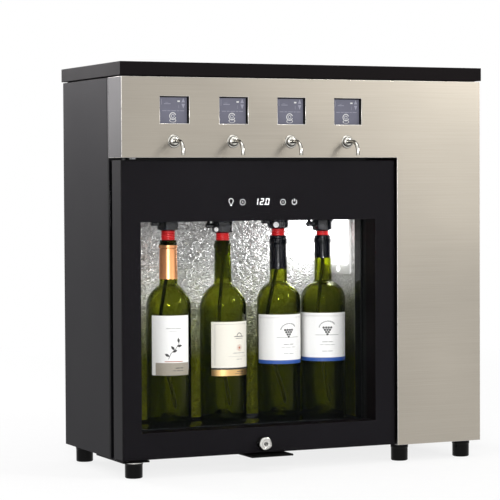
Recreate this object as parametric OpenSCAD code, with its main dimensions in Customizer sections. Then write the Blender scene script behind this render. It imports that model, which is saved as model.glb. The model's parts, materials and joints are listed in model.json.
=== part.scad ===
// Four-bottle wine dispenser: a cooled glass-door cabinet with a stainless front,
// four pouring taps, and the gas, hose and cooling parts that it holds inside.
// Millimetres. +Z up, the door faces -Y, +X to the right seen from the front.
// The origin is on the ground, under the centre of the whole outline.

/* [Overall] */
// Width of the top lid
lid_w = 636; // [620:2:660]
// Depth of the top lid
lid_d = 265; // [260:1:290]
// Thickness of the top lid
lid_t = 21; // [16:1:28]
// Height of the shadow line under the lid
shadow_gap = 1.5; // [1:0.5:4]
// Overhang of the lid past each side
side_overhang = 2; // [1:0.5:6]
// Overhang of the lid past the stainless front
front_overhang = 1; // [0.5:0.5:4]
// Overhang of the lid past the back
back_overhang = 2; // [2:0.5:6]
// Inset of the lid's lower step from the cabinet sides
lid_step_inset = 6; // [3:1:12]

/* [Sheet metal] */
// Thickness of the cabinet sheets
sheet_t = 1.2; // [0.8:0.1:2]
// Width of the folded flanges
flange_w = 16; // [12:1:20]
// Depth of the stainless hood in front of the cabinet
hood_d = 55; // [52:1:62]
// Height of the stainless strip above the door
strip_h = 124.5; // [118:0.5:126]
// Height of the strip's lower edge above the valve shelf
strip_rise = 12.9; // [10:0.1:18]
// Width of the stainless column right of the door
column_w = 155; // [150:1:160]
// Thickness of the front frame behind the door
front_frame_t = 2; // [1.5:0.5:3]
// Height of the folded edge of the base pan
pan_edge_h = 12; // [8:1:16]

/* [Feet] */
// Height of a foot
foot_h = 24.5; // [20:0.5:30]
// Radius of a foot at its top
foot_r = 14.4; // [12:0.2:16]
// Radius of a foot at the ground
foot_base_r = 13.8; // [10:0.2:14]
// Depth of the pressed bosses that the feet screw to
boss_h = 3; // [2:0.5:5]
// Inset of the outer feet from the cabinet sides
foot_inset_x = 25; // [20:1:30]
// Inset of the feet from the front and back faces
foot_inset_y = 21.5; // [18:0.5:26]
// Radius of a screw's shank
screw_r = 2; // [1.5:0.25:2.5]
// Radius of a screw's head
screw_head_r = 4; // [3.5:0.25:4.5]
// Height of a screw's head
screw_head_h = 2; // [1.5:0.25:3]

/* [Door] */
// Thickness of the door without its gasket
door_t = 40; // [36:1:44]
// Gap between the door and the column
door_gap = 3.5; // [2:0.5:6]
// Gap between the door and the strip
door_top_gap = 4; // [2:0.5:6]
// Gap between the door and the plates under it
door_foot_gap = 1.8; // [1.2:0.2:3]
// How far the door stands out past the cabinet's left side
door_side_out = 0.5; // [0:0.5:1]
// Thickness of each glass pane
glass_t = 4; // [3:0.5:5]
// Width of the door frame left of the window
window_left = 32.5; // [30:0.5:36]
// Width of the door frame right of the window
window_right = 35; // [32:0.5:38]
// Height of the door frame above the window
window_top = 95; // [90:1:100]
// Height of the door frame under the window
window_bottom = 40.5; // [38:0.5:44]
// Width of the rebate that holds the inner pane
pane_rebate = 7; // [5:1:10]
// Width of the door gasket
gasket_w = 10; // [8:1:12]
// Distance of the gasket from the cavity opening
gasket_offset = 4; // [3:1:8]
// Gap between the gasket and the front frame
seat_gap = 0.3; // [0.2:0.1:0.5]

/* [Hinge] */
// Radius of a hinge pin
pin_r = 3; // [2.5:0.25:4]
// Running clearance of a pin, a spindle or a lock plug in its bore
run_gap = 0.06; // [0.02:0.01:0.1]
// Depth of a hinge bush in the door
bush_h = 14; // [10:1:18]
// Wall of a hinge bush
bush_wall = 3; // [2:0.5:4]
// Thickness of the hinge plates and of the lock keeper
plate_t = 3; // [2.5:0.5:3]
// Distance of the hinge pin from the door's left edge
pin_inset = 12; // [10:0.5:14]
// Width of a hinge plate
plate_w = 44; // [40:1:50]

/* [Lock] */
// Height of the lock above the door's lower edge
lock_rise = 14.7; // [13.5:0.1:16]
// Radius of the lock's plug
plug_r = 6; // [5:0.25:6.5]
// Radius of the lock's barrel
barrel_r = 9; // [8.5:0.5:10]
// Radius of the lock's bezel
bezel_r = 11; // [10:0.5:12]
// Length of the bezel in front of the door
bezel_out = 10; // [7:0.5:12]
// Depth of the lock's cam behind the door's face
cam_depth = 20; // [16:0.5:22]
// Thickness of the cam
cam_t = 2.5; // [2:0.25:3]
// Width of the cam's tongue
tongue_w = 12; // [10:0.5:12]
// Width of the keeper plate under the lock
keeper_w = 72; // [60:1:80]
// Reach of the keeper plate in front of the door
keeper_reach = 20; // [18:1:30]
// How far the keeper plate stands to the right of the lock
keeper_shift = 6.5; // [0:0.5:8]
// Depth of the keeper plate under the cabinet
keeper_root = 40; // [30:1:60]

/* [Cavity] */
// Width of the bottle cavity
cavity_w = 404; // [398:1:408]
// Height of the bottle cavity
cavity_h = 389; // [384:1:396]
// Depth of the bottle cavity
cavity_d = 127; // [122:1:132]
// Insulation between the cavity and the column
wall_right = 38.5; // [34:0.5:42]
// Insulation between the base pan and the cavity
wall_under = 34; // [30:0.5:38]
// Insulation between the cavity and the rear plenum
wall_back = 23.8; // [20:0.2:28]
// Insulation between the cavity and the valve shelf
wall_over = 27; // [24:0.5:32]
// Depth of the black throat in front of the liner
throat_d = 21; // [16:1:26]
// Wall of the throat
throat_wall = 3; // [2:0.5:4]
// Thickness of the bottle tray
tray_t = 3; // [2:0.5:4]
// Height of the bottle tray's rim
tray_rim_h = 4; // [2:0.5:6]
// Gap between the tray and the cavity walls
tray_gap = 0.5; // [0.3:0.1:1]

/* [Lamp] */
// Depth of the lamp's base plate along the wall
lamp_d = 80; // [70:1:90]
// Height of the lamp's base plate
lamp_h = 118; // [100:1:124]
// Height of the lamp above the cavity floor
lamp_rise = 240; // [235:1:245]
// Distance from the cavity's mouth to the lamp
lamp_setback = 33; // [28:1:38]
// Thickness of the lamp's base plate
lamp_base_t = 3; // [2:0.5:4]
// Thickness of the lamp's diffuser
lamp_cover_t = 5; // [3:0.5:6]
// Margin of the base plate round the diffuser
lamp_margin = 6; // [4:0.5:8]
// Margin of the base plate under the diffuser
lamp_foot = 16; // [12:1:20]

/* [Front fittings] */
// Distance between neighbouring taps
tap_pitch = 100; // [96:1:104]
// Distance from the cabinet's left side to the first tap
tap_first = 86.5; // [82:0.5:90]
// Height of the taps above the strip's lower edge
tap_rise = 25.2; // [24:0.2:30]
// Reach of a tap in front of the stainless front
tap_reach = 40; // [36:1:46]
// Radius of the pouring tube
tube_r = 3; // [2.5:0.25:3.5]
// Wall of the pouring tube
tube_wall = 1; // [0.6:0.1:1.2]
// Bend radius of the pouring tube
bend_r = 16; // [12:0.5:18]
// Straight end of the pouring tube under the bend
tip_l = 5.7; // [3:0.1:7]
// Radius of the tap's flange
flange_r = 11; // [9:0.5:13]
// Height of the tap's flange
flange_h = 6; // [4:0.5:8]
// Radius of the tap's threaded shank
shank_r = 5; // [4:0.25:6]
// Width of a display opening
display_w = 48.8; // [44:0.2:52]
// Height of a display opening
display_h = 42; // [38:0.5:46]
// Height of the display centres above the taps
display_rise = 48.4; // [46:0.2:52]
// Offset of a display to the right of its tap
display_shift = 1.5; // [0:0.5:4]
// Depth of the display glass behind the front
display_recess = 6.5; // [4:0.5:8]
// Depth of a display housing behind the stainless front
housing_d = 13; // [11:0.5:16]
// Wall of a display housing
housing_wall = 1.6; // [1.2:0.1:2]

/* [Bottles] */
// Thickness of the bottle glass
bottle_wall = 3; // [2:0.25:4]
// Height of the straight body of a bottle
bottle_body_h = 197; // [185:1:200]
// Height at which a bottle's neck starts
bottle_neck_z = 230; // [215:1:235]
// Radius of the neck at its foot
neck_foot_r = 14.4; // [14:0.1:15]
// Radius of the neck at the mouth
neck_top_r = 13.4; // [13:0.1:13.8]
// Radius of the mouth's bore
mouth_r = 9.3; // [9:0.1:9.8]
// Thickness of a label or a capsule
label_t = 0.35; // [0.25:0.05:0.6]
// Radius of a stopper's head
head_r = 17.5; // [16:0.5:19]
// Height of a stopper's head
head_h = 26; // [22:1:30]
// Radius of the stopper's seal above the mouth
seal_r = 11; // [10:0.5:12]
// Length of the seal inside the mouth
seal_l = 24; // [16:1:30]
// Radius of a dip tube
dip_r = 2.6; // [2:0.1:2.8]
// Radius of a wine hose
wine_hose_r = 4; // [3.5:0.25:4.5]
// Radius of a gas hose
gas_hose_r = 3; // [2.5:0.25:3.5]

/* [Gas supply] */
// Radius of the gas cylinder
cylinder_r = 40; // [36:1:44]
// Height of the gas cylinder without its neck
cylinder_h = 290; // [270:2:300]
// Height of the cup that the cylinder stands in
cup_h = 40; // [30:1:50]
// Wall of the cup and of the clip
cup_wall = 4; // [3:0.5:5]
// Radius of the regulator's body
regulator_r = 18; // [16:1:20]
// Height of the regulator's body
regulator_h = 45; // [40:1:50]
// Radius of the regulator's knob
knob_r = 17; // [14:1:20]
// Height of the regulator's knob
knob_h = 26; // [20:1:30]

/* [Cooling and power] */
// Side of the square fan and heat sink
fan_side = 120; // [100:1:124]
// Depth of the fan
fan_d = 25; // [20:1:25]
// Height of the fan's centre above the base
fan_rise = 230; // [200:1:260]
// Depth of the heat sink
sink_d = 27; // [24:1:27]
// Thickness of the heat sink's base
sink_base_t = 5; // [4:0.5:7]
// Number of heat-sink fins
fin_n = 16; // [10:1:20]
// Side of the thermoelectric module
module_side = 40; // [30:1:50]
// Thickness of the thermoelectric module
module_t = 4; // [3:0.5:5]
// Side of the cold block
cold_side = 60; // [50:1:70]
// Height of the vent slots
slot_h = 4; // [3:0.5:5]
// Width of the power inlet's flange
inlet_w = 50; // [48:1:54]
// Height of the power inlet's flange
inlet_h = 30; // [28:1:34]
// Width of the rear switch
switch_w = 24; // [22:1:28]
// Height of the rear switch
switch_h = 32; // [31:1:36]
// Tilt of the rocker from the middle to each side
rocker_tilt = 12; // [8:1:14]

/* [Hidden] */
$fn = 48;
eps = 0.01;

// Main planes. The lid's back is as far behind the origin as the tap tips are in front of it.
back_y = (lid_d - front_overhang + tap_reach) / 2;
lid_front_y = back_y - lid_d;
front_y = lid_front_y + front_overhang;
face_y = front_y + sheet_t;
cab_y0 = front_y + hood_d;
frame_back_y = cab_y0 + front_frame_t;
cab_y1 = back_y - back_overhang;
back_in_y = cab_y1 - sheet_t;
half_w = lid_w / 2 - side_overhang;
in_x = half_w - sheet_t;
body_z0 = foot_h + boss_h;
floor_z = body_z0 + sheet_t;
column_x0 = half_w - column_w;
column_in_x = column_x0 + sheet_t;

// Cavity, its liner and the shelf above it
cav_x1 = column_x0 - wall_right;
cav_x0 = cav_x1 - cavity_w;
cav_z0 = floor_z + wall_under;
cav_z1 = cav_z0 + cavity_h;
cav_y1 = cab_y0 + cavity_d;
liner_y0 = cab_y0 + throat_d;
foam_y1 = cav_y1 + sheet_t + wall_back;
shelf_z = cav_z1 + sheet_t + wall_over;
bay_z = shelf_z + sheet_t;
tray_z = cav_z0 + tray_t;

// Heights of the strip, the body and the lid above the shelf
strip_z0 = bay_z + strip_rise;
body_z1 = strip_z0 + strip_h;
lid_z0 = body_z1 + shadow_gap;
total_h = lid_z0 + lid_t;

// Door, window and gasket
door_x0 = -half_w - door_side_out;
door_x1 = column_x0 - door_gap;
door_z0 = body_z0 + door_foot_gap;
door_z1 = strip_z0 - door_top_gap;
door_y1 = front_y + door_t;
win_x0 = door_x0 + window_left;
win_x1 = door_x1 - window_right;
win_z0 = door_z0 + window_bottom;
win_z1 = door_z1 - window_top;
pane_y0 = door_y1 - glass_t;
gasket_y1 = cab_y0 - seat_gap;
door_mid_x = (door_x0 + door_x1) / 2;

// Hinge
pin_x = door_x0 + pin_inset;
pin_y = front_y + door_t / 2;
bush_r = pin_r + run_gap + bush_wall;
plate_z0 = body_z0 - plate_t;
upper_plate_z = strip_z0 + sheet_t;
plate_x0 = -half_w + 2;
pin_grip = bush_h - 2;
washer_r = pin_r + 3.5;

// Lock
lock_z = door_z0 + lock_rise;
cam_y0 = front_y + cam_depth;
cam_y1 = cam_y0 + cam_t;
tongue_l = lock_z - plate_z0 - 1;
tongue_sweep_r = norm([tongue_l, tongue_w / 2]);
cam_hub_r = plug_r + 1.5;
cam_room = 0.8;
slot_room = 1.1;
reach_under = sqrt(pow(tongue_sweep_r, 2) - pow(lock_z - body_z0, 2));

// Taps and displays
tap_z = strip_z0 + tap_rise;
display_z = tap_z + display_rise;
tap_x = [for (i = [0:3]) -half_w + tap_first + i * tap_pitch];
tap_mid_y = front_y - tap_reach + tube_r;
shank_l = 14;
barb_l = 10;
nut_t = 5;
nut_r = 9;
lens_t = 2;
board_t = 1.6;

// Bottles: place of the axis from the cavity's right wall and mouth, body radius and height
bottle_x = [for (d = [315, 218.5, 122.5, 44]) cav_x1 - d];
bottle_y = [for (d = [60.5, 63, 55.5, 49.5]) cab_y0 + d];
bottle_r = [35.9, 37.9, 35.6, 36.8];
bottle_h = [298, 296, 302.5, 302];
// Height of the seal that shows above each mouth
seal_show = [15, 12, 11.3, 7];
// Length of each capsule, none on the second bottle
capsule_l = [62, 0, 54, 37];
// Lowest and highest edge of each label above the bottle's foot
label_z0 = [84, 79, 95, 97];
label_z1 = [179, 166, 175, 176];
// Direction that each label faces, from the front towards the left, and its half angle
label_turn = [16, -1, 11, 28];
label_half = [56, 57, 80, 78];
// Sideways bow of each dip tube, at fixed shares of its height
dip_bow = [-17, -9, -23, -12];

// Stopper
port_out = 25;
port_z = 12;
barb_up = 18;
neck_up = 8;

// Valves, manifold and hoses
valve_y0 = cab_y0 - 3;
valve_d = 30;
valve_w = 26;
port_l = 6;
valve_over = 12;
valve_z1 = tap_z + valve_over;
coil_r = 13;
coil_h = 34;
manifold_y = cav_y1 - 18;
manifold_d = 22;
manifold_h = 22;
gas_port_z = bay_z + manifold_h / 2;

// Gas cylinder in the right compartment
cyl_x = (column_in_x + in_x) / 2;
cyl_y = cab_y0 + 27;
cyl_z = floor_z + cup_wall;
cyl_gap = 0.3;
neck_z = cyl_z + cylinder_h;
neck_r = 12;
neck_h = 18;
reg_z = neck_z + neck_h;
knob_z = reg_z + regulator_h;
spindle_r = 5;
spindle_l = 10;

// Fan and heat sink behind the cavity
fan_x = (cav_x0 + cav_x1) / 2;
fan_z = body_z0 + fan_rise;
sink_y = foam_y1;
fan_y0 = sink_y + sink_d;
fan_y1 = fan_y0 + fan_d;
hub_r = 18;
bore_r = fan_side / 2 - 3;
axle_r = 2;
blade_n = 7;

// Rear inlet and switch
inlet_x = cyl_x - 28;
switch_x = cyl_x + 24;
power_z = body_z0 + 52;
inlet_in_w = 25;
inlet_in_h = 17;
rim_t = back_overhang;
socket_d = 16;
rocker_l = switch_h - 11;
rocker_w = switch_w - 8;
pivot_y = cab_y1 - 7.5;
rocker_r = 3;

// ---- small helpers ----

module block(x0, x1, y0, y1, z0, z1)
    translate([x0, y0, z0])
        cube([x1 - x0, y1 - y0, z1 - z0]);

module rod_x(x0, x1, y, z, r)
    translate([x0, y, z])
        rotate([0, 90, 0])
            cylinder(r = r, h = x1 - x0);

module rod_y(x, y0, y1, z, r)
    translate([x, y1, z])
        rotate([90, 0, 0])
            cylinder(r = r, h = y1 - y0);

module rod_z(x, y, z0, z1, r)
    translate([x, y, z0])
        cylinder(r = r, h = z1 - z0);

// Frame round a window, extruded along Y
module window_frame(x0, x1, z0, z1, w, y0, y1)
    difference() {
        block(x0, x1, y0, y1, z0, z1);
        block(x0 + w, x1 - w, y0 - 1, y1 + 1, z0 + w, z1 - w);
    }

module rounded_slab(w, h, t, r)
    linear_extrude(t) {
        square([w - 2 * r, h], center = true);
        square([w, h - 2 * r], center = true);
        for (sx = [-1, 1], sz = [-1, 1])
            translate([sx * (w / 2 - r), sz * (h / 2 - r)])
                circle(r = r);
    }

// Screw along +Z: the head sits under z = 0 and the shank rises from it
module screw(l) {
    translate([0, 0, -screw_head_h])
        cylinder(r = screw_head_r, h = screw_head_h);
    cylinder(r = screw_r, h = l);
}

// ---- swept hoses ----

function unit(v) = v / norm(v);
function tangent(p, i) = unit(p[min(i + 1, len(p) - 1)] - p[max(i - 1, 0)]);
function first_side(t) = unit(cross(t, abs(t[1]) < 0.8 ? [0, 1, 0] : [1, 0, 0]));
function across(v, t) = unit(v - (v * t) * t);
function sides_along(p, i = 0, s = undef) =
    i == len(p) ? [] :
    let (t = tangent(p, i), n = s == undef ? first_side(t) : across(s, t))
        concat([n], sides_along(p, i + 1, n));

// Point of a cubic Bezier curve
function bezier(a, b, c, d, t) =
    pow(1 - t, 3) * a + 3 * pow(1 - t, 2) * t * b + 3 * (1 - t) * t * t * c + pow(t, 3) * d;
function bezier_path(a, b, c, d, n) = [for (i = [0:n]) bezier(a, b, c, d, i / n)];

// Smooth path through points chosen by hand, m steps between neighbours
function pick(p, i) = p[max(0, min(len(p) - 1, i))];
function spline_point(p, i, t) =
    let (a = pick(p, i - 1), b = pick(p, i), c = pick(p, i + 1), d = pick(p, i + 2))
        0.5 * (2 * b + (c - a) * t + (2 * a - 5 * b + 4 * c - d) * t * t
            + (3 * b - a - 3 * c + d) * t * t * t);
function spline_path(p, m) =
    concat([for (i = [0:len(p) - 2], j = [0:m - 1]) spline_point(p, i, j / m)], [p[len(p) - 1]]);

module swept_tube(p, r, sides = 8) {
    n = len(p);
    s = sides_along(p);
    points = [for (i = [0:n - 1], k = [0:sides - 1])
        let (t = tangent(p, i), a = 360 * k / sides)
            p[i] + r * (cos(a) * s[i] + sin(a) * cross(t, s[i]))];
    walls = [for (i = [0:n - 2], k = [0:sides - 1])
        let (a = i * sides + k, b = i * sides + (k + 1) % sides)
            [[a, a + sides, b], [b, a + sides, b + sides]]];
    faces = concat([for (w = walls, f = w) f],
        [[for (k = [0:sides - 1]) k]],
        [[for (k = [sides - 1:-1:0]) (n - 1) * sides + k]]);
    polyhedron(points = points, faces = faces, convexity = 6);
}

// ---- cabinet sheets ----

module side_sheet() {
    block(-half_w, -in_x, cab_y0, cab_y1, body_z0, body_z1);
    // Top flange under the lid's step
    block(-in_x - eps, -in_x + flange_w, frame_back_y, back_in_y, body_z1 - sheet_t, body_z1);
    // Rear flange that the back panel is screwed to
    difference() {
        block(-in_x - eps, -in_x + flange_w, back_in_y - sheet_t, back_in_y, floor_z + pan_edge_h,
            body_z1);
        for (z = back_screw_z)
            rod_y(back_screw_x[0], back_in_y - sheet_t - 1, back_in_y + 1, z, screw_r);
    }
}

module side_panel_left()
    color("dimgray")
        side_sheet();

module side_panel_right()
    color("dimgray")
        mirror([1, 0, 0])
            side_sheet();

foot_x = [-half_w + foot_inset_x, column_x0 + foot_r, half_w - foot_inset_x];
foot_y = [front_y + foot_inset_y, cab_y1 - foot_inset_y];
// The foot under the door hangs on the hinge plate, and the others on bosses of the base pan
plate_foot = [foot_x[0], foot_y[0]];
boss_feet = [for (x = foot_x, y = foot_y) if (x != foot_x[0] || y != foot_y[0]) [x, y]];

module base_pan()
    color("dimgray")
        difference() {
            union() {
                block(-in_x, in_x, cab_y0, back_in_y, body_z0, floor_z);
                block(column_in_x, in_x, face_y, cab_y0 + eps, body_z0, floor_z);
                for (sx = [-1, 1])
                    block(sx > 0 ? in_x - sheet_t : -in_x, sx > 0 ? in_x : -in_x + sheet_t,
                        frame_back_y, back_in_y, floor_z - eps, floor_z + pan_edge_h);
                for (f = boss_feet)
                    rod_z(f[0], f[1], plate_z_boss, body_z0 + eps, foot_r);
            }
            for (f = boss_feet)
                rod_z(f[0], f[1], plate_z_boss - 1, floor_z + 1, screw_r);
            for (s = plate_screw_spots)
                rod_z(s[0], s[1], body_z0 - 1, floor_z + 1, screw_r);
        }

plate_z_boss = body_z0 - boss_h;

module top_lid()
    color([0.08, 0.08, 0.09]) {
        block(-lid_w / 2, lid_w / 2, lid_front_y, back_y, lid_z0, total_h);
        block(-half_w + lid_step_inset, half_w - lid_step_inset, front_y + lid_step_inset,
            cab_y1 - lid_step_inset, body_z1, lid_z0);
    }

module front_fascia()
    color([0.72, 0.69, 0.63])
        difference() {
            union() {
                block(-half_w, half_w, front_y, face_y, strip_z0, body_z1);
                block(column_x0, half_w, front_y, face_y, body_z0, body_z1);
                // Folded left end, underside of the strip, inner and outer side of the column
                block(-half_w, -in_x, front_y, cab_y0, strip_z0, body_z1);
                block(-half_w, column_in_x, front_y, cab_y0, strip_z0, upper_plate_z);
                block(column_x0, column_in_x, front_y, cab_y0, body_z0, upper_plate_z);
                block(in_x, half_w, front_y, cab_y0, body_z0, body_z1);
                // Top flange under the lid's step
                block(-in_x, in_x, front_y, front_y + flange_w, body_z1 - sheet_t, body_z1);
            }
            for (x = tap_x) {
                block(x + display_shift - display_w / 2, x + display_shift + display_w / 2,
                    front_y - 1, face_y + 1, display_z - display_h / 2, display_z + display_h / 2);
                rod_y(x, front_y - 1, face_y + 1, tap_z, shank_r);
            }
            rod_z(pin_x, pin_y, strip_z0 - 1, upper_plate_z + 1, pin_r + 0.5);
            for (s = upper_screw_spots)
                rod_z(s[0], s[1], strip_z0 - 1, upper_plate_z + 1, screw_r);
        }

module front_frame()
    color([0.05, 0.05, 0.06])
        difference() {
            union() {
                block(-in_x, column_in_x, cab_y0, frame_back_y, floor_z, upper_plate_z);
                block(cav_x0 - throat_wall, cav_x1 + throat_wall, cab_y0, liner_y0,
                    cav_z0 - throat_wall, cav_z1 + throat_wall);
            }
            block(cav_x0, cav_x1, cab_y0 - 1, liner_y0 + 1, cav_z0, cav_z1);
        }

module liner()
    color([0.8, 0.81, 0.82])
        difference() {
            block(cav_x0 - sheet_t, cav_x1 + sheet_t, liner_y0, cav_y1 + sheet_t,
                cav_z0 - sheet_t, cav_z1 + sheet_t);
            block(cav_x0, cav_x1, liner_y0 - 1, cav_y1, cav_z0, cav_z1);
            hose_holes(cav_z1 - 1, cav_z1 + sheet_t + 1);
        }

module hose_holes(z0, z1)
    for (i = [0:3]) {
        rod_z(bottle_x[i], bottle_y[i], z0, z1, wine_hose_r + 1);
        rod_z(bottle_x[i] - port_out, bottle_y[i], z0, z1, gas_hose_r + 1);
    }

module insulation()
    color([0.9, 0.87, 0.7])
        difference() {
            block(-in_x + sheet_t, column_x0, frame_back_y, foam_y1, floor_z, shelf_z);
            block(cav_x0 - throat_wall, cav_x1 + throat_wall, frame_back_y - 1, liner_y0,
                cav_z0 - throat_wall, cav_z1 + throat_wall);
            block(cav_x0 - sheet_t, cav_x1 + sheet_t, liner_y0 - 1, cav_y1 + sheet_t,
                cav_z0 - sheet_t, cav_z1 + sheet_t);
            block(fan_x - cold_side / 2, fan_x + cold_side / 2, cav_y1, foam_y1 + 1,
                fan_z - cold_side / 2, fan_z + cold_side / 2);
            hose_holes(cav_z1, shelf_z + 1);
        }

module divider_wall()
    color("silver")
        block(column_x0, column_in_x, frame_back_y, back_in_y, floor_z, shelf_z);

module valve_shelf()
    color("silver")
        difference() {
            block(-in_x, column_in_x, frame_back_y, back_in_y - sheet_t, shelf_z, bay_z);
            hose_holes(shelf_z - 1, bay_z + 1);
        }

vent_rows = 13;
vent_pitch = 9;
module vent_slots(x, z, w)
    for (k = [0:vent_rows - 1])
        translate([x, cab_y1 + 1, z + (k - (vent_rows - 1) / 2) * vent_pitch])
            rotate([90, 0, 0])
                rounded_slab(w, slot_h, sheet_t + 2, slot_h / 2 - eps);

back_screw_x = [-in_x + flange_w / 2, in_x - flange_w / 2];
back_screw_z = [floor_z + pan_edge_h + 25, (body_z0 + body_z1) / 2, body_z1 - 25];

module back_panel()
    color("dimgray")
        difference() {
            block(-in_x, in_x, back_in_y, cab_y1, body_z0, body_z1);
            vent_slots(fan_x, fan_z, fan_side - 12);
            vent_slots(cyl_x, body_z1 - 90, 90);
            block(inlet_x - inlet_in_w / 2 - 2, inlet_x + inlet_in_w / 2 + 2, back_in_y - 1,
                cab_y1 + 1, power_z - inlet_in_h / 2 - 2, power_z + inlet_in_h / 2 + 2);
            block(switch_x - switch_w / 2 + 2, switch_x + switch_w / 2 - 2, back_in_y - 1,
                cab_y1 + 1, power_z - switch_h / 2 + 2, power_z + switch_h / 2 - 2);
            for (x = back_screw_x, z = back_screw_z)
                rod_y(x, back_in_y - 1, cab_y1 + 1, z, screw_r);
        }

// ---- feet, hinge plates, keeper and screws ----

foot_recess = 12;
module feet()
    color([0.06, 0.06, 0.07])
        for (f = concat([plate_foot], boss_feet))
            translate([f[0], f[1], 0])
                rotate_extrude()
                    polygon(concat(
                        [for (a = [-90:15:0]) [foot_base_r - 3 + 3 * cos(a), 3 + 3 * sin(a)]],
                        [[foot_r, foot_h - 2], [foot_r, foot_h], [screw_r, foot_h],
                            [screw_r, foot_recess], [screw_head_r + 1, foot_recess],
                            [screw_head_r + 1, 0]]));

keeper_x0 = door_mid_x + keeper_shift - keeper_w / 2;
keeper_x1 = door_mid_x + keeper_shift + keeper_w / 2;
plate_y0 = pin_y - washer_r - 6;
plate_y1 = cab_y0 + 70;
plate_screw_spots = concat(
    [for (y = [cab_y0 + 20, plate_y1 - 14]) [plate_x0 + plate_w / 2, y]],
    [for (x = [keeper_x0 + 12, keeper_x1 - 12]) [x, cab_y0 + keeper_root / 2]]);
upper_plate_y1 = cab_y0 - 4;
upper_screw_spots = [for (y = [pin_y + 16, upper_plate_y1 - 6]) [plate_x0 + plate_w - 12, y]];

module body_screws()
    color("silver") {
        for (f = concat([plate_foot], boss_feet))
            translate([f[0], f[1], foot_recess])
                screw((f == plate_foot ? body_z0 : floor_z) - foot_recess);
        for (s = plate_screw_spots)
            translate([s[0], s[1], plate_z0])
                screw(plate_t + sheet_t);
        for (s = upper_screw_spots)
            translate([s[0], s[1], strip_z0])
                screw(sheet_t + plate_t);
        for (x = back_screw_x, z = back_screw_z)
            translate([x, cab_y1, z])
                rotate([90, 0, 0])
                    screw(2 * sheet_t + 3);
    }

module hinge_plates()
    color([0.1, 0.1, 0.11]) {
        difference() {
            block(plate_x0, plate_x0 + plate_w, plate_y0, plate_y1, plate_z0, body_z0);
            rod_z(pin_x, pin_y, plate_z0 - 1, body_z0 + 1, pin_r);
            rod_z(plate_foot[0], plate_foot[1], plate_z0 - 1, body_z0 + 1, screw_r);
            for (s = plate_screw_spots)
                rod_z(s[0], s[1], plate_z0 - 1, body_z0 + 1, screw_r);
        }
        difference() {
            block(plate_x0, plate_x0 + plate_w, plate_y0, upper_plate_y1, upper_plate_z,
                upper_plate_z + plate_t);
            rod_z(pin_x, pin_y, upper_plate_z - 1, upper_plate_z + plate_t + 1, pin_r);
            for (s = upper_screw_spots)
                rod_z(s[0], s[1], upper_plate_z - 1, upper_plate_z + plate_t + 1, screw_r);
        }
    }

washer_gap = 0.2;
module hinge_pins()
    color("silver") {
        rod_z(pin_x, pin_y, plate_z0, door_z0 + pin_grip, pin_r);
        rod_z(pin_x, pin_y, door_z1 - pin_grip, upper_plate_z + plate_t, pin_r);
        rod_z(pin_x, pin_y, body_z0, door_z0 - washer_gap, washer_r);
        rod_z(pin_x, pin_y, upper_plate_z + plate_t, upper_plate_z + plate_t + 2, pin_r + 2);
    }

module lock_keeper()
    color([0.06, 0.06, 0.07])
        difference() {
            block(keeper_x0, keeper_x1, front_y - keeper_reach, cab_y0 + keeper_root, plate_z0,
                body_z0);
            block(door_mid_x - tongue_w / 2 - slot_room, door_mid_x + reach_under + slot_room,
                cam_y0 - slot_room, cam_y1 + slot_room, plate_z0 - 1, body_z0 + 1);
            for (s = plate_screw_spots)
                rod_z(s[0], s[1], plate_z0 - 1, body_z0 + 1, screw_r);
        }

// ---- cavity fittings ----

module bottle_tray()
    color([0.04, 0.04, 0.05])
        difference() {
            block(cav_x0 + tray_gap, cav_x1 - tray_gap, cab_y0 + 2, cav_y1 - tray_gap, cav_z0,
                tray_z + tray_rim_h);
            block(cav_x0 + tray_gap + 2, cav_x1 - tray_gap - 2, cab_y0 + 4,
                cav_y1 - tray_gap - 2, tray_z, tray_z + tray_rim_h + 1);
        }

lamp_y0 = cab_y0 + lamp_setback;
lamp_z0 = cav_z0 + lamp_rise;
module wall_slab(x0, x1, y0, y1, z0, z1, r)
    translate([x0, (y0 + y1) / 2, (z0 + z1) / 2])
        rotate([90, 0, 90])
            rounded_slab(y1 - y0, z1 - z0, x1 - x0, r);

module lamp_base()
    color("white")
        wall_slab(cav_x1 - lamp_base_t, cav_x1, lamp_y0, lamp_y0 + lamp_d, lamp_z0,
            lamp_z0 + lamp_h, 5);

module lamp_cover()
    color([1, 1, 0.95]) {
        wall_slab(cav_x1 - lamp_base_t - lamp_cover_t, cav_x1 - lamp_base_t,
            lamp_y0 + lamp_margin, lamp_y0 + lamp_d - lamp_margin, lamp_z0 + lamp_foot,
            lamp_z0 + lamp_h - lamp_margin, 4);
        rod_x(cav_x1 - lamp_base_t - 1.5, cav_x1 - lamp_base_t, lamp_y0 + lamp_d / 2,
            lamp_z0 + lamp_foot / 2, screw_head_r);
    }

// ---- displays, boards and taps ----

module display_box(x, grow, y0, y1)
    block(x + display_shift - display_w / 2 - grow, x + display_shift + display_w / 2 + grow,
        y0, y1, display_z - display_h / 2 - grow, display_z + display_h / 2 + grow);

module display_housings()
    color([0.05, 0.05, 0.06])
        for (x = tap_x)
            difference() {
                display_box(x, housing_wall, face_y, face_y + housing_d);
                display_box(x, 0, face_y - 1, face_y + housing_d + 1);
            }

lens_y = front_y + display_recess;
module display_lenses()
    color([0.45, 0.5, 0.55])
        for (x = tap_x)
            display_box(x, 0, lens_y, lens_y + lens_t);

post_l = 8;
board_w = 110;
board_h = 90;
board_z = body_z1 - 120;
chip_spots = [[-38, 24, 22, 16, 14], [-6, 28, 30, 20, 6], [34, 24, 18, 26, 20],
    [-36, -18, 30, 12, 9], [4, -16, 16, 16, 4], [36, -20, 14, 30, 12]];

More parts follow.
